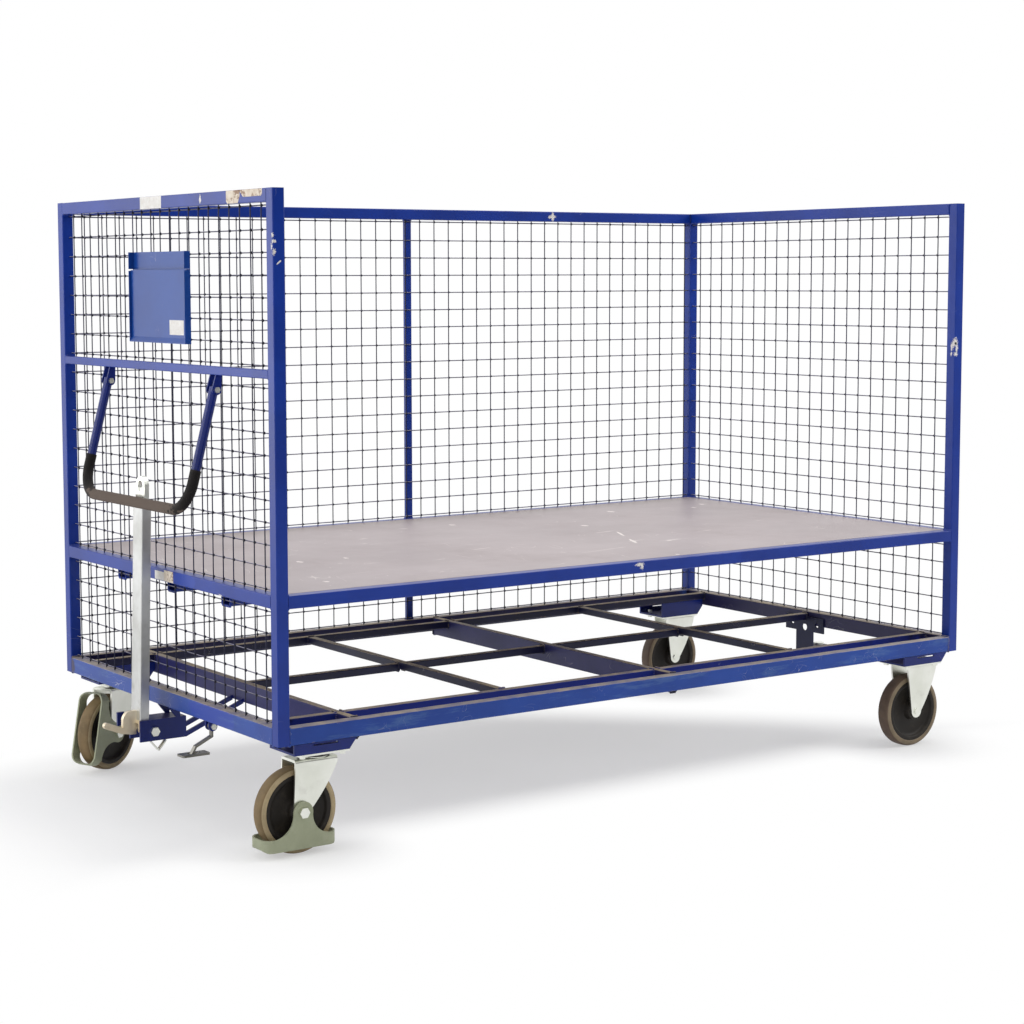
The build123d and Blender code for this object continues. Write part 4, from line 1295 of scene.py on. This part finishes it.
@dataclass
class Wheel:
    """One wheel: a tyre with worn tread and pale sidewalls, and a moulded centre; the rear tyres are darker
    as painted shade.

    The two outlines give radius and distance from the middle plane, from the bore outwards.
    """

    palette: Palette
    corner: str
    drawn_axle: Point = (0.0, 1.0, 0.0)
    steps: int = 96
    sharp_angle: float = 40.0
    sidewall_reach: float = 0.0955
    front_rubber: tuple[Coat, Coat] = (Coat.TREAD, Coat.SIDEWALL)
    # The rear tyres get darker rubber as painted shade.
    shaded_rear_rubber: tuple[Coat, Coat] = (Coat.SHADED_REAR_TREAD, Coat.SHADED_REAR_SIDEWALL)
    tyre_half: tuple[Pair, ...] = (
        (0.0841, 0.0184), (0.0850, 0.0194), (0.0872, 0.0200), (0.0905, 0.0199), (0.0936, 0.0193),
        (0.0962, 0.0178), (0.0981, 0.0154), (0.0992, 0.0122), (0.0998, 0.0070), (0.1000, 0.0000),
    )
    centre_half: tuple[Pair, ...] = (
        (0.0112, 0.0270), (0.0200, 0.0270), (0.0226, 0.0262), (0.0240, 0.0244), (0.0250, 0.0130),
        (0.0272, 0.0096), (0.0320, 0.0082), (0.0440, 0.0078), (0.0640, 0.0082), (0.0694, 0.0098),
        (0.0718, 0.0126), (0.0736, 0.0166), (0.0752, 0.0182), (0.0775, 0.0185), (0.0839, 0.0185),
    )

    def build(self) -> None:
        """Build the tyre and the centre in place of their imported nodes."""
        corner = self.corner
        body = f"wheel_{corner}"
        place = self._place()
        materials = self.palette.materials
        rubber = self.front_rubber if corner.startswith("front") else self.shaded_rear_rubber
        tyre = self._spun(self.tyre_half, place)
        self._pale_sidewalls(tyre, place)
        piece = make_piece(f"worn_tyre_{corner}", tyre, body, [materials[coat] for coat in rubber])
        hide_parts(f"tyre_{corner}")
        centre = self._spun(self.centre_half, place)
        piece = make_piece(f"wheel_centre_{corner}", centre, body, [materials[Coat.RIM]])
        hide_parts(f"rim_{corner}")
        self.palette.dress(f"bearing_{corner}", Coat.ZINC)

    def _place(self) -> Matrix:
        """Find the place of a wheel that is drawn about the origin with its axle along Y.

        Returns:
            The place.
        """
        spin = joint(f"spin_{self.corner}")
        axle = Vector(spin["axis"])
        turn = Vector(self.drawn_axle).rotation_difference(axle).to_matrix().to_4x4()
        return Matrix.Translation(spin["pos_m"]) @ turn

    def _spun(self, half: tuple[Pair, ...], place: Matrix) -> Mesh:
        """Spin a mirrored half outline about the axle.

        Args:
            half: The half outline.
            place: Where the shape goes.

        Returns:
            The closed ring.
        """
        outline = list(half) + [(radius, -across) for radius, across in reversed(half) if across > 0]
        mesh = bmesh.new()
        verts = [mesh.verts.new((radius, across, 0.0)) for radius, across in outline]
        edges = [mesh.edges.new(pair) for pair in zip(verts, verts[1:] + verts[:1])]
        bmesh.ops.spin(
            mesh,
            geom=verts + edges,
            cent=ORIGIN,
            axis=self.drawn_axle,
            angle=FULL_TURN,
            steps=self.steps,
            use_merge=True,
        )
        bmesh.ops.remove_doubles(mesh, verts=mesh.verts, dist=MERGE_DISTANCE)
        bmesh.ops.recalc_face_normals(mesh, faces=mesh.faces)
        bmesh.ops.transform(mesh, matrix=place, verts=mesh.verts)
        smooth(mesh, self.sharp_angle)
        return mesh

    def _pale_sidewalls(self, mesh: Mesh, place: Matrix) -> None:
        """Give the faces of the sidewalls the second material.

        Args:
            mesh: The tyre.
            place: Where the tyre was put.
        """
        back = place.inverted()
        for face in mesh.faces:
            spot = back @ face.calc_center_median()
            if math.hypot(spot.x, spot.z) < self.sidewall_reach:
                face.material_index = SECOND_MATERIAL


@dataclass
class Castors:
    """Forks, plates, axles, guards and wheels of the four castors."""

    palette: Palette
    zinc_nodes: tuple[str, ...] = (
        "castor_bolts",
        "swivel_plates",
        "kingpins",
        "axle_front_left",
        "axle_front_right",
        "axles_rear",
    )
    guard_nodes: tuple[str, ...] = ("foot_guard_front_left", "foot_guard_front_right")

    def build(self) -> None:
        """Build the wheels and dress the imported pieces."""
        for corner in CORNERS:
            Wheel(self.palette, corner).build()
            self.palette.dress(f"fork_{corner}", Coat.ZINC)
        for node in self.zinc_nodes:
            self.palette.dress(node, Coat.ZINC)
        for node in self.guard_nodes:
            self.palette.dress(node, Coat.GUARD)
        # Dark grease on the ball races, which also paints the shade in the gap under the swivel plates.
        self.palette.dress("ball_races", Coat.GREASE_AND_SHADE)


@dataclass
class FrontGear:
    """Drawbar, push handle, foot pedal, rear hitch and document holder."""

    palette: Palette
    coats: dict[str, Coat] = field(
        default_factory=lambda: {
            "bracket_clip": Coat.ZINC,
            "drawbar_tube": Coat.DRAWBAR,
            "drawbar_foot": Coat.HOOK,
            "tow_eye": Coat.ZINC,
            "handle_tube": Coat.GEAR,
            "handle_grip": Coat.GRIP,
            "handle_lugs": Coat.GEAR,
            "foot_pedal": Coat.SHADED_PEDAL,
            "pedal_ears": Coat.GEAR,
            "hitch_bracket": Coat.HITCH,
            "hitch_pin": Coat.ZINC,
            "pivot_bolts": Coat.ZINC,
            "document_holder": Coat.HOLDER,
        }
    )

    def dress(self) -> None:
        """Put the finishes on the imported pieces."""
        for node, coat in self.coats.items():
            self.palette.dress(node, coat)


@dataclass(frozen=True)
class Label:
    """A blank label on a face that looks to -X: its range across Y and Z, its cuts, and its inset.

    A cut gives the Y and Z of a point on it, and the direction in Y and Z of what falls away.
    """

    name: str
    carrier: str
    across: Pair
    height: Pair
    coat: Coat
    cuts: tuple[Cut, ...] = ()
    inset: float = 0.0


@dataclass
class Labels:
    """Blank paper labels and torn paper on the front end."""

    palette: Palette
    lift: float = 0.0002
    thickness: float = 0.00025
    cells: int = 12
    unit_half: float = 0.5
    labels: tuple[Label, ...] = (
        Label("top_rail_label", "top_end_rails", (-0.033, 0.081), (1.4655, 1.4945), Coat.LABEL),
        Label(
            "torn_paper_left", "top_end_rails", (-0.424, -0.360), (1.4655, 1.4945), Coat.TORN,
            ((-0.424, 1.481, -0.9, -0.5), (-0.366, 1.4655, 0.8, -0.9)),
        ),
        Label(
            "torn_paper_right", "top_end_rails", (-0.527, -0.418), (1.4785, 1.4945), Coat.TORN,
            ((-0.440, 1.4785, 0.7, -0.9), (-0.527, 1.483, -0.6, -0.8)),
        ),
        Label("holder_label", "document_holder", (-0.132, -0.058), (1.1655, 1.2005), Coat.LABEL, inset=0.006),
        Label("shelf_label_grey", "shelf_end_rails", (-0.016, 0.033), (0.570, 0.591), Coat.LABEL),
        Label("shelf_label_cream", "shelf_end_rails", (-0.065, -0.0165), (0.5695, 0.5965), Coat.TORN),
    )

    def build(self) -> None:
        """Lay each label on its carrier."""
        for label in self.labels:
            self._lay(label)

    def _lay(self, label: Label) -> None:
        """Cut one label and lay it on its carrier's outer face.

        Args:
            label: The label.
        """
        face_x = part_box(label.carrier)[0].x + label.inset - self.lift
        low, high = label.across
        bottom, top = label.height
        mesh = bmesh.new()
        bmesh.ops.create_grid(mesh, x_segments=self.cells, y_segments=self.cells, size=self.unit_half)
        scale = Matrix.Diagonal((top - bottom, high - low, 1.0, 1.0))
        turn = Matrix.Rotation(-QUARTER_TURN, 4, "Y")
        place = Matrix.Translation((face_x, (low + high) / 2, (bottom + top) / 2))
        bmesh.ops.transform(mesh, matrix=place @ turn @ scale, verts=mesh.verts)
        for y, z, out_y, out_z in label.cuts:
            bmesh.ops.bisect_plane(
                mesh,
                geom=mesh.verts[:] + mesh.edges[:] + mesh.faces[:],
                plane_co=(face_x, y, z),
                plane_no=(0.0, out_y, out_z),
                clear_outer=True,
            )
        bmesh.ops.recalc_face_normals(mesh, faces=mesh.faces)
        if mesh.faces[:][0].normal.x > 0:
            bmesh.ops.reverse_faces(mesh, faces=mesh.faces)
        bmesh.ops.solidify(mesh, geom=mesh.faces[:], thickness=self.thickness)
        make_piece(label.name, mesh, "chassis", [self.palette.materials[label.coat]])


@dataclass(frozen=True)
class Lamp:
    """One soft lamp: where it hangs, what it looks at, its width and height, and its power in watts."""

    name: str
    place: Point
    target: Point
    size: Pair
    power: float

    def hang(self) -> None:
        """Hang the lamp."""
        data = bpy.data.lights.new(self.name, "AREA")
        data.shape = "RECTANGLE"
        data.size, data.size_y = self.size
        data.energy = self.power
        lamp = bpy.data.objects.new(self.name, data)
        lamp.location = self.place
        aim = Vector(self.target) - Vector(self.place)
        lamp.rotation_euler = aim.to_track_quat("-Z", "Y").to_euler()
        bpy.context.scene.collection.objects.link(lamp)


@dataclass
class Stage:
    """Pale floor, white surround, soft light and the camera."""

    floor_half: float = 6.0
    floor_colour: Colour = screen(246, 246, 246)
    floor_roughness: float = 0.9
    near_border: Pair = (-0.56, -0.30)
    left_border: Pair = (-1.65, -1.25)
    far_border: Pair = (0.50, 0.80)
    slant_border: Pair = (0.60, 1.10)
    slant: float = 1.07
    wheel_border: Pair = (0.06, 0.30)
    shadow_lift: float = 0.45
    world_dark: float = 0.06
    world_bright: float = 0.52
    dark_side: Point = (0.45, -0.893, 0.0)
    dark_levels: Pair = (0.82, 0.98)
    lamps: tuple[Lamp, ...] = (
        Lamp("left_softbox", (-4.6, 4.6, 1.6), (-1.0, 0.0, 0.8), (2.6, 3.5), 55.0),
        Lamp("top_lamp", (0.4, 0.6, 5.4), (0.1, 0.0, 0.0), (5.5, 4.5), 148.0),
        Lamp("end_lamp", (-5.2, 0.4, 2.4), (-1.0, 0.0, 0.7), (2.4, 2.4), 64.0),
        Lamp("right_lamp", (3.8, -3.0, 3.4), (0.9, -0.3, 0.6), (2.2, 2.2), 86.0),
    )
    camera_place: Point = (-3.3045, -4.6495, 1.2989)
    camera_yaw: float = 34.05
    camera_pitch: float = 5.396
    camera_roll: float = -0.201
    lens: float = 74.941
    shift: Pair = (0.05645, -0.03241)
    far_limit: float = 200.0

    def build(self) -> None:
        """Build the whole stage."""
        self._floor()
        self._world()
        for lamp in self.lamps:
            lamp.hang()
        self._camera()
        bpy.context.scene.view_settings.view_transform = "Standard"

    def _floor(self) -> None:
        """Lay a pale floor that is white to the camera away from the trolley, with a light shadow near it."""
        mesh = bmesh.new()
        bmesh.ops.create_grid(mesh, x_segments=1, y_segments=1, size=self.floor_half)
        data = bpy.data.meshes.new("floor")
        mesh.to_mesh(data)
        mesh.free()
        look = Look("pale_floor")
        look.fill(look.shader, {"Base Color": self.floor_colour, "Roughness": self.floor_roughness})
        look.fill(look.shader, {"Specular IOR Level": 0.0})
        path = look.node("ShaderNodeLightPath")
        seen = look.math("MAXIMUM", path.outputs["Is Camera Ray"], self._mirrored(look, path))
        lifted = look.blend(self._outside_shadow(look), self.shadow_lift, 1.0)
        share = look.math("MULTIPLY", lifted, seen)
        white = look.node("ShaderNodeEmission").outputs[0]
        both = look.node("ShaderNodeMixShader", {0: share, 1: look.shader.outputs[0], 2: white})
        look.fill(look.tree.nodes["Material Output"], {0: both.outputs[0]})
        data.materials.append(look.material)
        floor = bpy.data.objects.new("floor", data)
        bpy.context.scene.collection.objects.link(floor)

    def _outside_shadow(self, graph: Graph) -> Socket:
        """Mask the floor outside the trolley's shadow and away from its wheels.

        Args:
            graph: The floor's graph.

        Returns:
            The mask, 0 in the shadow and 1 outside it.
        """
        place = graph.place()
        split = graph.split(place)
        along = split["X"]
        across = split["Y"]
        slanted = graph.math("ADD", along, graph.math("MULTIPLY", across, self.slant))
        outside = graph.between(across, *self.near_border, 1.0, 0.0)
        outside = graph.math("MAXIMUM", outside, graph.between(along, *self.left_border, 1.0, 0.0))
        outside = graph.math("MAXIMUM", outside, graph.between(across, *self.far_border))
        outside = graph.math("MAXIMUM", outside, graph.between(slanted, *self.slant_border))
        for corner in CORNERS:
            x, y, _ = joint(f"spin_{corner}")["pos_m"]
            reach = graph.vector("DISTANCE", place, (x, y, 0.0)).outputs["Value"]
            outside = graph.math("MULTIPLY", outside, graph.between(reach, *self.wheel_border))
        return outside

    @staticmethod
    def _mirrored(graph: Graph, path: Node) -> Socket:
        """Whether a ray comes by way of a glossy or a clear surface."""
        return graph.math("MAXIMUM", path.outputs["Is Glossy Ray"], path.outputs["Is Transmission Ray"])

    def _world(self) -> None:
        """Light the surround softly, white to the camera and in reflections, with one dark flag."""
        world = bpy.data.worlds.new("surround")
        world.use_nodes = True
        bpy.context.scene.world = world
        graph = Graph(world.node_tree)
        way = graph.node("ShaderNodeTexCoord").outputs["Generated"]
        side = graph.vector("DOT_PRODUCT", way, Vector(self.dark_side).normalized()).outputs["Value"]
        flag = graph.between(side, *self.dark_levels)
        path = graph.node("ShaderNodeLightPath")
        open_level = graph.blend(self._mirrored(graph, path), self.world_bright, 1.0)
        flagged = graph.blend(flag, open_level, self.world_dark)
        strength = graph.blend(path.outputs["Is Camera Ray"], flagged, 1.0)
        graph.fill(graph.tree.nodes["Background"], {"Color": (1.0, 1.0, 1.0, 1.0), "Strength": strength})

    def _camera(self) -> None:
        """Set the camera where the photograph was taken."""
        angles = (self.camera_yaw, self.camera_pitch, self.camera_roll)
        yaw, pitch, roll = (math.radians(angle) for angle in angles)
        forward = Vector((math.sin(yaw) * math.cos(pitch), math.cos(yaw) * math.cos(pitch), -math.sin(pitch)))
        level = Vector((math.cos(yaw), -math.sin(yaw), 0.0))
        upright = level.cross(forward)
        right = math.cos(roll) * level + math.sin(roll) * upright
        up = math.cos(roll) * upright - math.sin(roll) * level
        data = bpy.data.cameras.new("camera")
        data.lens = self.lens
        data.shift_x, data.shift_y = self.shift
        data.clip_end = self.far_limit
        camera = bpy.data.objects.new("camera", data)
        axes = Matrix((right, up, -forward)).transposed()
        camera.matrix_world = Matrix.Translation(self.camera_place) @ axes.to_4x4()
        bpy.context.scene.collection.objects.link(camera)
        bpy.context.scene.camera = camera


def main() -> None:
    """Build and dress the trolley on its stage."""
    logging.basicConfig(level=logging.INFO, format="%(message)s")
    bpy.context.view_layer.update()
    palette = Palette().build()
    Stage().build()
    tubes = TubeFrame(palette)
    tubes.dress()
    tubes.build()
    Shelf(palette).dress()
    MeshWalls(palette).build()
    Castors(palette).build()
    FrontGear(palette).dress()
    Labels(palette).build()


if __name__ == "__main__":
    main()
